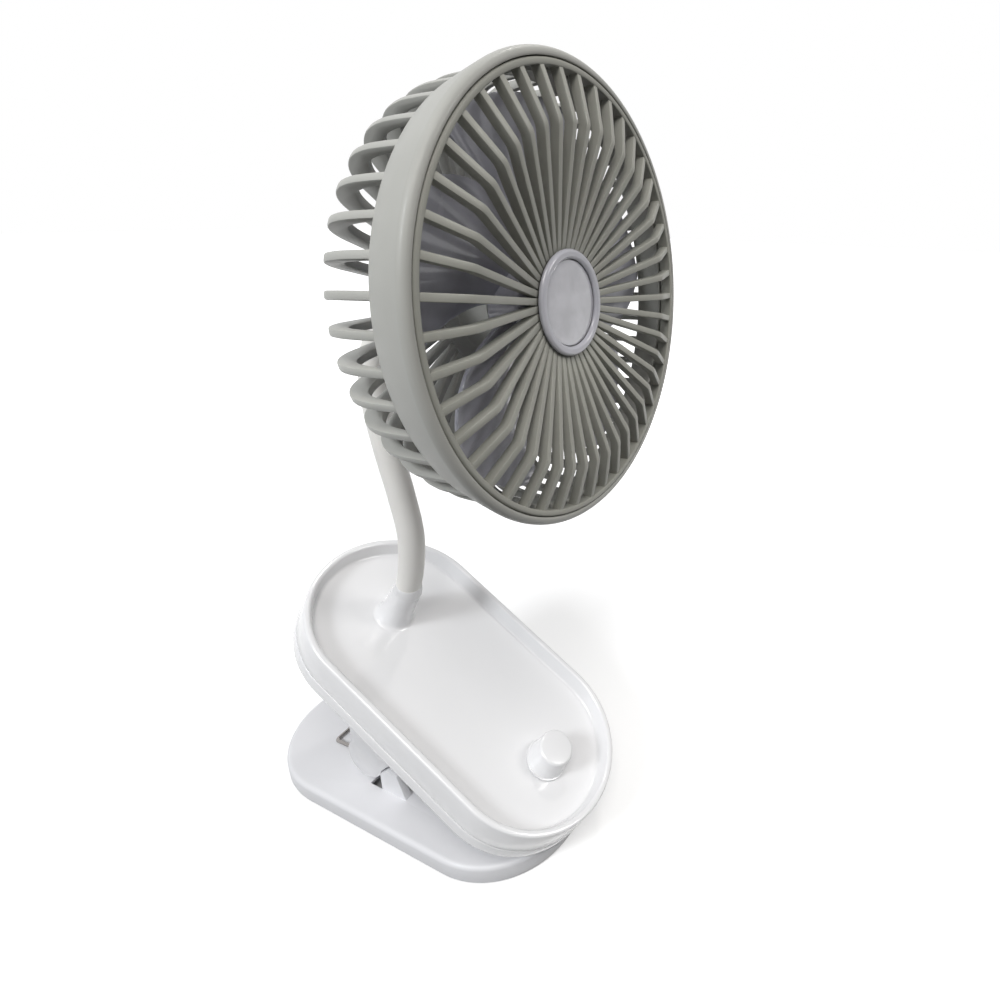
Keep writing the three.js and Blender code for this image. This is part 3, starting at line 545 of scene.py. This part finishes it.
# ------------------------------------------------------------------ lower jaw
def lower_jaw():
    top = stadium_shell("lower_jaw_top", JAW_LENGTH, JAW_WIDTH, [
        (2.6, JAW_TOP), (1.7, JAW_TOP - 0.07), (1.0, JAW_TOP - 0.35), (0.45, JAW_TOP - 0.85),
        (0.12, JAW_TOP - 1.5), (0, JAW_TOP - 2.2), (0, 2.8), (0.15, 2.6), (2, 2.6),
        (2, JAW_TOP - 2),
    ], UPRIGHT)
    for side in (1, -1):
        low, high = sorted(side * distance for distance in SLOT_SPAN)
        slot = block("slot", (-16, low, 5), (-8, high, JAW_TOP + 2))
        boolean(top, slot, "DIFFERENCE")
    seat = block("seat", (55.7, -24.3, JAW_TOP - 0.8), (76.3, 24.3, JAW_TOP + 2))
    boolean(top, seat, "DIFFERENCE")
    for side in (1, -1):
        boolean(top, lug(side), "UNION")
        boolean(top, stop(side), "UNION")
    tidy_mesh(top)
    stand_for(soften(top, 0.25), "lower_jaw", "white_soft", white_soft, "lower_jaw_shell")

    cover = stadium_shell("lower_jaw_base", JAW_LENGTH, JAW_WIDTH, [
        (2.4, 2.55), (2.4, 2.3), (0.7, 2.3), (0.45, 2.15), (0.4, 1.9), (0.45, 1.3), (0.9, 0.75),
        (1.6, 0.6),
    ], UPRIGHT)
    well = stadium_shell("well", SOLE_LENGTH, SOLE_WIDTH, [(-0.3, -1), (-0.3, 1.5)], UPRIGHT)
    boolean(cover, well, "DIFFERENCE")
    for x in (-JAW_SCREW_X, JAW_SCREW_X):
        boolean(cover, screw_hole(0, 1.6, 2.2, Matrix.Translation((x, 0, 0))), "DIFFERENCE")
    stand_for(soften(cover, 0), "lower_jaw", "white_soft", white_soft, "lower_jaw_cover")

    pad = stadium_shell("sole", SOLE_LENGTH, SOLE_WIDTH, [
        (0, 1.2), (0, 0.45), (0.12, 0.15), (0.45, 0),
    ], UPRIGHT)
    stand_for(soften(pad, 0), "lower_jaw", "rubber_grey", pad_rubber, "sole_pad")


def screw_hole(start, head_end, shank_start, place):
    """A cutter for one screw: wide for the head, and narrow for the shank."""
    return spun("hole", [
        (start, 0), (start, 3), (head_end, 3), (shank_start, 1.5), (3, 1.5), (3, 0),
    ], 32, place, "Z")


def lug(side):
    """The upright that carries the hinge pin, seen from the side as a rounded tongue."""
    outline = [(PIVOT_X - 17, JAW_TOP - 0.6), (PIVOT_X + 18, JAW_TOP - 0.6)]
    for i in range(25):
        angle = math.pi * i / 24
        outline.append((PIVOT_X + LUG_RADIUS * math.cos(angle),
                        PIVOT_Z + LUG_RADIUS * math.sin(angle)))
    return upright_plate("lug", outline, side, LUG_SPAN)


def stop(side):
    """The hinge stop in front of an ear."""
    outline = [(-8, JAW_TOP - 0.6), (8, JAW_TOP - 0.6), (3.5, 24.5), (-3.6, 24.5), (-8, 20.9)]
    return upright_plate("stop", outline, side, STOP_SPAN)


def upright_plate(name, outline, side, span, place=UPRIGHT):
    """A plate drawn in x and z, standing between two distances from the middle plane."""
    inner, outer = span
    middle = Matrix.Translation((0, side * (inner + outer) / 2, 0))
    turn = middle @ Matrix.Rotation(math.pi / 2, 4, "X")
    return plate(name, outline, outer - inner, place, turn)


# ------------------------------------------------------------------ upper jaw
def upper_jaw():
    rim = BODY_HEIGHT
    tray = stadium_shell("tray", BODY_LENGTH, BODY_WIDTH, [
        (RIM_WIDTH + 3.1, FLOOR_TOP), (RIM_WIDTH + 2.5, FLOOR_TOP + 0.08),
        (RIM_WIDTH + 2.0, FLOOR_TOP + 0.33), (RIM_WIDTH + 1.65, FLOOR_TOP + 0.75),
        (RIM_WIDTH + 1.45, FLOOR_TOP + 1.3), (RIM_WIDTH + 0.1, rim - 1.0),
        (RIM_WIDTH - 0.15, rim - 0.5), (RIM_WIDTH - 0.6, rim - 0.15), (RIM_WIDTH - 1.2, rim),
        (1.5, rim), (1.0, rim - 0.12), (0.65, rim - 0.45), (0.5, rim - 1.1),
        (0.12, PARTING + 0.5), (0.25, PARTING + 0.2), (0.5, PARTING + 0.12),
        (2.2, PARTING + 0.1), (2.2, 13.8),
    ], TRAY)
    for u, radius in ((NECK_U, NECK_BORE), (KNOB_U, KNOB_BORE)):
        boolean(tray, spun("bore", [(13, 0), (13, radius), (17, radius), (17, 0)],
                           40, TRAY @ Matrix.Translation((u, 0, 0)), "Z"), "DIFFERENCE")
    stand_for(soften(tray, 0), "upper_jaw", "white_gloss", white_gloss, "tray_shell")

    shell = stadium_shell("case", BODY_LENGTH, BODY_WIDTH, [
        (2.2, 2), (2.2, PARTING - 0.2), (0.35, PARTING - 0.2), (0.1, PARTING - 0.35),
        (0, PARTING - 0.7), (0, 2.8), (0.15, 1.9), (0.6, 1.0), (1.4, 0.3), (2.6, 0),
    ], TRAY)
    for side in (1, -1):
        boolean(shell, ear(side), "UNION")
    boolean(shell, block("port", PORT_LOW, PORT_HIGH, TRAY), "DIFFERENCE")
    for u, v in CASE_SCREWS:
        hole = screw_hole(-1, 0.9, 1.5, TRAY @ Matrix.Translation((u, v, 0)))
        boolean(shell, hole, "DIFFERENCE")
    tidy_mesh(shell)
    stand_for(soften(shell, 0.25), "upper_jaw", "white_gloss", white_gloss, "bottom_shell")


def ear(side):
    """One ear: wide at the case, narrowing to a round end at the hinge pin."""
    to_body = TRAY.inverted() @ Vector((PIVOT_X, 0, PIVOT_Z))
    u, w = to_body.x, to_body.z
    outline = [(8.7, 0.8), (-51.3, 0.8), (u - EAR_RADIUS, w + 4)]
    for i in range(33):
        angle = math.pi * (0.94 + (2.1 - 0.94) * i / 32)
        outline.append((u + EAR_RADIUS * math.cos(angle), w + EAR_RADIUS * math.sin(angle)))
    return upright_plate("ear", outline, side, EAR_SPAN, TRAY)


def knob():
    base = FLOOR_TOP + 0.3
    skirt = rounded([(base + 2.4, 9.3), (base + 1.0, 9.5), (base + 1.0, KNOB_RADIUS),
                     (base, KNOB_RADIUS), (base, 7), (base + 2.4, 7)], 0.4, 3)[2:-4]
    body = spun("knob", [
        (KNOB_TOP, 0), (KNOB_TOP, 7.0), (KNOB_TOP - 0.08, 7.5), (KNOB_TOP - 0.3, 7.95),
        (KNOB_TOP - 0.7, 8.25), (KNOB_TOP - 1.2, 8.42), *skirt, (KNOB_TOP - 4, 7),
        (KNOB_TOP - 4, 0),
    ], 96, TRAY @ Matrix.Translation((KNOB_U, 0, 0)), "Z")
    stand_for(soften(body, 0), "knob", "white_gloss", white_gloss, "speed_knob")


# ------------------------------------------------------------------ neck
def neck_line():
    """The middle of the neck, from the first ball to the last."""
    start = TRAY @ Vector((NECK_U, 0, FIRST_BALL))
    end = HEAD @ Vector((LAST_BALL, 0, 0))
    return through([start, *NECK_POINTS, end], 40)


def point_at(line, share):
    """The point at a share of the line's length."""
    lengths = [0.0]
    for a, b in zip(line, line[1:]):
        lengths.append(lengths[-1] + (b - a).length)
    want = share * lengths[-1]
    for i in range(1, len(line)):
        if lengths[i] >= want:
            t = (want - lengths[i - 1]) / (lengths[i] - lengths[i - 1])
            return line[i - 1].lerp(line[i], t)
    return line[-1]


def neck():
    """The sleeve with its collar and ferrule.

    The sleeve's stretches run from the middle of one link to the middle of the next.
    """
    line = neck_line()
    for k in range(NECK_LINKS + 1):
        low = max(0.0, (k - 0.5) / NECK_LINKS)
        high = min(1.0, (k + 0.5) / NECK_LINKS)
        step = (high - low) / SLEEVE_STEPS
        points = [point_at(line, low + (high - low) * i / SLEEVE_STEPS)
                  for i in range(SLEEVE_STEPS + 1)]
        if k == 0:
            points = [TRAY @ Vector((NECK_U, 0, FIRST_BALL - 3))] + points
        if k == NECK_LINKS:
            points += [HEAD @ Vector((LAST_BALL + 4.6, 0, 0))]
        ends = (point_at(line, low - step) if k else None,
                point_at(line, high + step) if k < NECK_LINKS else None)
        part = tube(f"neck_sleeve_{k + 1}", points, NECK_RADIUS, 48, ends)
        parts = [(part, sleeve_white, "sleeve")]
        if k == 0:
            rise = [point_at(line, TIP_SHARE * i / 7) for i in range(8)]
            tip = tube("neck_collar_tip", rise, TIP_RADII, 48,
                       (points[0], point_at(line, 0.035)))
            parts.append((tip, white_gloss, "white_gloss"))
        middle = point_at(line, k / NECK_LINKS)
        # Points at this reach to each side of the joint; nothing below uses them.
        reach = 0.42 / NECK_LINKS
        start = point_at(line, max(0.0, k / NECK_LINKS - reach))
        end = point_at(line, min(1.0, k / NECK_LINKS + reach))
        if k == 0:
            start = middle * 2 - end
        if k == NECK_LINKS:
            end = middle * 2 - start
        for obj, material, slot in parts:
            obj.data.shade_smooth()
            obj.data.set_sharp_from_angle(angle=math.radians(50))
            obj.data.materials.append(material)
            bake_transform(obj)
        if k < NECK_LINKS:
            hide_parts(f"neck_link_{k + 1}")

    foot = FLOOR_TOP + 0.02
    socket = spun("neck_collar", rounded([
        (foot, 6), (foot, 10.4), (foot + 0.2, 9.7), (foot + 0.7, 9.1), (foot + 1.6, 8.6),
        (foot + 3.2, 8.2), (foot + 5.4, 7.85), (foot + 7.6, 7.6), (foot + 10, 7.35),
        (foot + 13, 7.1), (FIRST_BALL, 6.9), (FIRST_BALL, 5.95),
    ], 0.6, 4), 96, TRAY @ Matrix.Translation((NECK_U, 0, 0)), "Z")
    stand_for(soften(socket, 0), "upper_jaw", "white_gloss", white_gloss, "neck_socket")

    flange = -CAGE_DEPTH - 0.3
    ferrule = spun("neck_ferrule_cap", rounded([
        (LAST_BALL + 4.2, 6.2), (LAST_BALL + 4.2, 8.2), (-44.6, 8.6), (-43.2, 10.8),
        (flange, 11.6), (flange, 6.2),
    ], 0.7, 4), 96)
    stand_for(soften(ferrule, 0), "head", "sleeve", sleeve_white, "neck_ferrule")


# ------------------------------------------------------------------ head
def fin_outline():
    """One fin in x and radius: straight, rounded, then in to the disc, and back inside."""
    back = -CAGE_DEPTH
    outer = through([
        (-BAND_DEPTH + 1, 69.75, 0), (-22, 69.85, 0), (-28, 69.5, 0), (-34, 67.8, 0),
        (-38.4, 64.4, 0), (-40.6, 60, 0), (back, 54, 0),
    ], 4)
    inner = through([
        (-34.2, 54, 0), (-33.8, 58, 0), (-32.4, 62, 0), (-29.6, 65.2, 0), (-25, 66.8, 0),
        (-BAND_DEPTH + 1, 67.7, 0),
    ], 4)
    points = [(p.x, p.y) for p in outer]
    points += [(back, CAGE_DISC - 1.5), (back + 2.4, CAGE_DISC - 1.5)]
    return points + [(p.x, p.y) for p in inner]


def rib_outline():
    """One rib in x and radius, from the ring over the kink to the hub, and back behind."""
    outer = OPENING_RADIUS + 0.9
    front = [(-0.5, outer)] + bend((KINK_RISE, KINK_RADIUS), 1.2)
    front += [(-HUB_SET_BACK - 0.3, HUB_RADIUS - 1.6)]
    back = [(x - RIB_DEPTH, r) for x, r in reversed(front)]
    return front + back


def bend(corner, reach):
    """Three points that round the kink of a rib."""
    x, r = corner
    slope_out = (-0.5 - x) / (OPENING_RADIUS + 0.9 - r)
    slope_in = (-HUB_SET_BACK - 0.3 - x) / (HUB_RADIUS - 1.6 - r)
    return [
        (x + slope_out * reach, r + reach),
        (x + (slope_out - slope_in) * reach * 0.25, r),
        (x - slope_in * reach, r - reach),
    ]


def around(name, outline, width, edge):
    """Repeats a flat piece, drawn in x and radius, at every rib of the cage."""
    first = plate(name, outline, width)
    soften(first, edge, 2)
    bm = bmesh.new()
    for i in range(RIBS):
        copy = first.data.copy()
        turn = Matrix.Rotation(math.pi + 2 * math.pi * i / RIBS, 4, "X")
        to_head = Matrix.Scale(MM, 4) @ HEAD @ turn @ Matrix.Scale(1 / MM, 4)
        copy.transform(to_head)
        bm.from_mesh(copy)
        bpy.data.meshes.remove(copy)
    bpy.data.objects.remove(first)
    return from_bmesh(name, bm)


def head():
    band = spun("rear_band", rounded([
        (-BAND_DEPTH, 67.4), (-5, 67.4), (-5, GROOVE_RADIUS), (-0.2, GROOVE_RADIUS),
        (0, 71), (0, 71.6), (-0.3, 72.4), (-1, 73.1), (-2.2, LIP_RADIUS), (-8, 72.0),
        (-BAND_DEPTH, CAGE_RADIUS),
    ], 0.6, 3), 240)
    stand_for(soften(band, 0), "head", "grey_plastic", grey_plastic)

    disc = spun("rear_disc", rounded([
        (-CAGE_DEPTH, 5.4), (-CAGE_DEPTH, CAGE_DISC), (-CAGE_DEPTH + 2.8, CAGE_DISC),
        (-CAGE_DEPTH + 2.8, 18), (-25.2, 18), (-25.2, 15.8), (-CAGE_DEPTH + 2.8, 15.8),
        (-CAGE_DEPTH + 2.8, 5.4),
    ], 0.5, 3), 120)
    stand_for(soften(disc, 0), "head", "grey_plastic", grey_plastic)

    fins = around("rear_fins", fin_outline(), FIN_WIDTH, 0.55)
    stand_for(fins, "head", "grey_plastic", grey_plastic, "rear_housing")

    ring = spun("grille_ring", rounded([
        (-4.6, OPENING_RADIUS), (-0.2, OPENING_RADIUS), (0, OPENING_RADIUS + 0.5),
        (0, GROOVE_RADIUS - 0.8), (-0.5, GROOVE_RADIUS - 0.3), (-4.6, GROOVE_RADIUS - 0.3),
    ], 0.4, 3), 240)
    stand_for(soften(ring, 0), "head", "grey_plastic", grille_plastic)

    hub = spun("grille_hub", [(-9.2, 0.0), (-9.2, 16.6), (-6.6, 17), (-6.2, 16.7), (-6.2, 0.0)], 96)
    stand_for(soften(hub, 0), "head", "grey_plastic", grille_plastic)

    ribs = around("grille_ribs", rib_outline(), RIB_WIDTH, 0.35)
    stand_for(ribs, "head", "grey_plastic", grille_plastic, "front_grille")

    badge = spun("badge_rim", rounded([
        (-5.2, 14.3), (-5.2, HUB_RADIUS), (-4.3, HUB_RADIUS), (-3.5, 16.7), (-3.5, 15.2),
        (-4.3, 14.3),
    ], 0.4, 4), 120)
    stand_for(soften(badge, 0), "head", "lavender_plastic", lavender, "badge_ring")

    face = spun("badge_face", [(-5.9, 0.0), (-5.9, 14), (-4.95, 14), (-4.8, 13.7), (-4.7, 12),
                               (-4.5, 9), (-4.38, 5), (-4.32, 0.0)], 96)
    stand_for(soften(face, 0), "head", "lavender_plastic", disc_gloss_painted_reflection, "badge_disc")

    can = spun("motor_body", rounded([
        (-34.4, 0.05), (-34.4, 15.2), (-19.4, 15.2), (-18.4, 14.2), (-18.4, 5), (-16.9, 5),
        (-16.9, 2.0), (-31, 2.0), (-31, 0.05),
    ], 0.4, 2), 72)
    stand_for(soften(can, 0), "head", "steel", motor_steel, "motor_can")


# ------------------------------------------------------------------ impeller
def blade_point(span, chord):
    """Place along x, radius and angle at a share of the blade's span and chord."""
    radius = BLADE_ROOT + (BLADE_TIP - BLADE_ROOT) * span
    arc = math.radians(62 - 4 * span)
    sweep = math.radians(26) * span ** 1.4
    shrink = 1 - 0.22 * span ** 6
    angle = sweep + arc * shrink * (chord - 0.5)
    x = -12.9 - (10.4 - 1.6 * span) * chord + 1.6 * (1 - (2 * chord - 1) ** 2)
    return x, radius, angle


def blade(number, rows=20, columns=18):
    vertices = []
    for side in (0, 1):
        for row in range(rows + 1):
            for column in range(columns + 1):
                x, radius, angle = blade_point(row / rows, column / columns)
                angle += 2 * math.pi * number / BLADES
                # The same turning sense as the solid: y is the cosine and z the sine.
                vertices.append((x - side * BLADE_THICK, radius * math.cos(angle),
                                 radius * math.sin(angle)))
    wide = columns + 1
    half = (rows + 1) * wide
    faces = []
    for row in range(rows):
        for column in range(columns):
            a = row * wide + column
            faces.append((a, a + 1, a + wide + 1, a + wide))
            faces.append((a + half, a + half + wide, a + half + wide + 1, a + half + 1))
    rim = list(range(columns))
    rim += [row * wide + columns for row in range(rows)]
    rim += [rows * wide + column for column in range(columns, 0, -1)]
    rim += [row * wide for row in range(rows, 0, -1)]
    for i, a in enumerate(rim):
        b = rim[(i + 1) % len(rim)]
        faces.append((a, a + half, b + half, b))
    return piece(f"blade_{number + 1}", vertices, faces, HEAD)


def impeller():
    blades = [soften(blade(i), 0.3, 2, 50) for i in range(BLADES)]
    cup = spun("cup", rounded([
        (CUP_BACK, 17.2), (CUP_BACK, CUP_OUTER), (CUP_FRONT - 2, CUP_OUTER),
        (CUP_FRONT - 0.6, 18.2), (CUP_FRONT, 16), (CUP_FRONT, 0.05), (-12.6, 0.05), (-12.6, 1.9),
        (-16.2, 1.9), (-16.2, 3.8), (-13.2, 3.8), (-13.2, 17.2),
    ], 0.5, 3), 96)
    wheel = merge("impeller_wheel", [soften(cup, 0)] + blades)
    stand_for(wheel, "fan", "lavender_plastic", blade_plastic, "impeller")


# ------------------------------------------------------------------ clip spring
def spring_half():
    """The wire from the middle of the bail, round one coil, to its end under the case."""
    jaw = JAW_TOP + 0.3 + WIRE / 2
    points = [(BAIL_X, 0, jaw), (BAIL_X, BAIL_Y - 1.6, jaw), (BAIL_X + 0.12, BAIL_Y - 0.98, jaw),
              (BAIL_X + 0.5, BAIL_Y - 0.47, jaw), (BAIL_X + 1.0, BAIL_Y - 0.12, jaw),
              (BAIL_X + 1.6, BAIL_Y, jaw), (-43, BAIL_Y - 0.3, jaw), (-40.5, 16.35, jaw + 0.25),
              (-38, COIL_Y + 0.2, jaw + 0.6)]
    steps = round(COIL_TURNS * 24)
    for i in range(steps + 1):
        angle = -math.pi / 2 + 2 * math.pi * i / 24
        points.append((PIVOT_X + COIL_RADIUS * math.cos(angle),
                       COIL_Y - COIL_PITCH * i / 24,
                       PIVOT_Z + COIL_RADIUS * math.sin(angle)))
    y = points[-1][1]
    end = TRAY @ Vector((-50, y, -0.3 - WIRE / 2))
    points.append((end.x + 5, y, end.z - 9))
    points.append(tuple(end))
    points.append(tuple(TRAY @ Vector((-56, y, -0.3 - WIRE / 2))))
    return [Vector(p) for p in points]


def clip_spring():
    half = spring_half()
    other = [Vector((p.x, -p.y, p.z)) for p in half[1:]]
    wire = tube("spring_wire", list(reversed(other)) + half, WIRE / 2, 16)
    wire.data.shade_smooth()
    wire.data.set_sharp_from_angle(angle=math.radians(60))
    wire.data.materials.append(chrome_wire)
    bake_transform(wire)
    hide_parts("clip_spring")


# ------------------------------------------------------------------ small and hidden pieces
def small_pieces():
    looks = {
        "lower_grip_pad": ("lower_jaw", "rubber_grey", pad_rubber, 0.2),
        "upper_grip_pad": ("upper_jaw", "rubber_grey", pad_rubber, 0.2),
        "pivot_pin": ("lower_jaw", "steel", plain_steel, 0.3),
        "spring_arbor": ("lower_jaw", "black_plastic", black_plastic, 0.2),
        "battery_pack": ("upper_jaw", "cell_wrap", cell_film, 0.6),
        "circuit_board": ("upper_jaw", "board", board_green, 0.1),
        "usb_socket": ("upper_jaw", "steel", plain_steel, 0.1),
        "potentiometer": ("upper_jaw", "black_plastic", black_plastic, 0.3),
        "knob_shaft": ("knob", "steel", plain_steel, 0.2),
        "neck_nut": ("upper_jaw", "steel", plain_steel, 0.2),
        "ferrule_nut": ("head", "steel", plain_steel, 0.2),
        "motor_shaft": ("fan", "steel", plain_steel, 0.2),
    }
    for i in (1, 2):
        looks[f"jaw_screw_{i}"] = ("lower_jaw", "steel", plain_steel, 0.1)
    for i in (1, 2, 3, 4):
        looks[f"case_screw_{i}"] = ("upper_jaw", "steel", plain_steel, 0.1)
    for node, (body, slot, material, width) in looks.items():
        stand_for(finer(node, width), body, slot, material, node)


# ------------------------------------------------------------------ stage
def stage():
    mesh = bpy.data.meshes.new("floor")
    size = 6.0
    mesh.from_pydata([(-size, -size, 0), (size, -size, 0), (size, size, 0), (-size, size, 0)], [],
                     [(0, 1, 2, 3)])
    floor = new_object("floor", mesh)
    floor.data.materials.append(floor_material())


def floor_material():
    """White to the camera and in reflections, with the object's shadow; dim to other rays."""
    material, nodes, links, shader, where = start_material("pale_floor")
    out = next(n for n in nodes if n.type == "OUTPUT_MATERIAL")
    paper = noise(nodes, links, where, 6, 3)
    links.new(ramp(nodes, links, paper, [(0.3, (0.85, 0.85, 0.85)), (0.7, (0.87, 0.87, 0.87))]),
              shader.inputs["Base Color"])
    shader.inputs["Roughness"].default_value = 0.9
    shader.inputs["Specular IOR Level"].default_value = 0.1
    far = nodes.new("ShaderNodeVectorMath")
    far.operation = "LENGTH"
    links.new(where, far.inputs[0])
    glow = nodes.new("ShaderNodeEmission")
    fade = spread_between(nodes, links, far.outputs["Value"], 0.35, 1.0, (0.15, 0.8), smooth=True)
    links.new(fade, glow.inputs["Strength"])
    bright = nodes.new("ShaderNodeAddShader")
    links.new(shader.outputs[0], bright.inputs[0])
    links.new(glow.outputs[0], bright.inputs[1])
    dim = nodes.new("ShaderNodeBsdfDiffuse")
    dim.inputs["Color"].default_value = (0.1, 0.1, 0.1, 1)
    mix = nodes.new("ShaderNodeMixShader")
    links.new(straight_ray(nodes, links), mix.inputs[0])
    links.new(dim.outputs[0], mix.inputs[1])
    links.new(bright.outputs[0], mix.inputs[2])
    links.new(mix.outputs[0], out.inputs["Surface"])
    return material


def straight_ray(nodes, links):
    """1 for rays from the camera, reflections and glass, 0 for soft bounces."""
    path = nodes.new("ShaderNodeLightPath")
    total = path.outputs["Is Camera Ray"]
    for kind in ("Is Glossy Ray", "Is Transmission Ray"):
        total = calculate(nodes, links, "MAXIMUM", total, path.outputs[kind])
    return total


def light():
    """A white studio, with soft light that falls mostly from above and from the left."""
    world = bpy.data.worlds.new("studio")
    bpy.context.scene.world = world
    world.use_nodes = True
    nodes, links = world.node_tree.nodes, world.node_tree.links
    nodes.clear()
    out = nodes.new("ShaderNodeOutputWorld")
    where = nodes.new("ShaderNodeTexCoord")
    towards = nodes.new("ShaderNodeVectorMath")
    towards.operation = "DOT_PRODUCT"
    towards.inputs[1].default_value = Vector((-0.45, -0.3, 0.85)).normalized()
    links.new(where.outputs["Generated"], towards.inputs[0])
    lit = nodes.new("ShaderNodeBackground")
    lit.inputs["Color"].default_value = (0.97, 0.98, 1, 1)
    level = spread_between(nodes, links, towards.outputs["Value"], 0.02, 0.46, (-0.5, 0.9))
    links.new(level, lit.inputs["Strength"])
    seen = nodes.new("ShaderNodeBackground")
    seen.inputs["Color"].default_value = (1, 1, 1, 1)
    seen.inputs["Strength"].default_value = 1.0
    mix = nodes.new("ShaderNodeMixShader")
    links.new(straight_ray(nodes, links), mix.inputs[0])
    links.new(lit.outputs[0], mix.inputs[1])
    links.new(seen.outputs[0], mix.inputs[2])
    links.new(mix.outputs[0], out.inputs["Surface"])
    lamp("key", (-0.16, -1.0, 0.95), (0.04, 0, 0.15), 0.3, 8.6, (0.95, 0.975, 1))
    lamp("high", (0.48, -0.56, 1.18), (0.04, 0, 0.15), 0.5, 5.8, (1, 0.975, 0.94))
    lamp("front", (0.95, 0.42, 0.8), (0.04, 0, 0.18), 0.3, 3.4, (1, 0.985, 0.96))
    lamp("top", (0.05, 0.55, 1.2), (0.03, 0, 0.12), 0.08, 1.3, (1, 0.97, 0.94))


def lamp(name, place, target, size, power, colour):
    """A square lamp that looks at the target."""
    data = bpy.data.lights.new(name, "AREA")
    data.shape = "SQUARE"
    data.size = size
    data.energy = power
    data.color = colour
    obj = new_object(name, data)
    obj.location = place
    obj.rotation_euler = (Vector(target) - Vector(place)).to_track_quat("-Z", "Y").to_euler()


def camera():
    """The photograph's own viewpoint, solved from the outlines in it."""
    place = Vector((205.48, -183.98, 292.05)) * MM
    azimuth, elevation, roll = (math.radians(a) for a in (23.41, 19.53, 1.5))
    back = Vector((math.sin(azimuth) * math.cos(elevation),
                   -math.cos(azimuth) * math.cos(elevation), math.sin(elevation)))
    right = Vector((math.cos(azimuth), math.sin(azimuth), 0))
    turn = Matrix((right, back.cross(right), back)).transposed()
    turn = turn @ Matrix.Rotation(roll, 3, "Z")
    data = bpy.data.cameras.new("photo_camera")
    data.sensor_width = 36
    data.lens = 21.87
    data.shift_x = -0.1556
    data.shift_y = -0.0754
    data.clip_start = 0.01
    obj = new_object("photo_camera", data)
    obj.matrix_world = Matrix.Translation(place) @ turn.to_4x4()
    bpy.context.scene.camera = obj


camera()
light()
stage()
lower_jaw()
upper_jaw()
knob()
neck()
head()
impeller()
clip_spring()
small_pieces()

scene = bpy.context.scene
scene.view_settings.view_transform = "Standard"
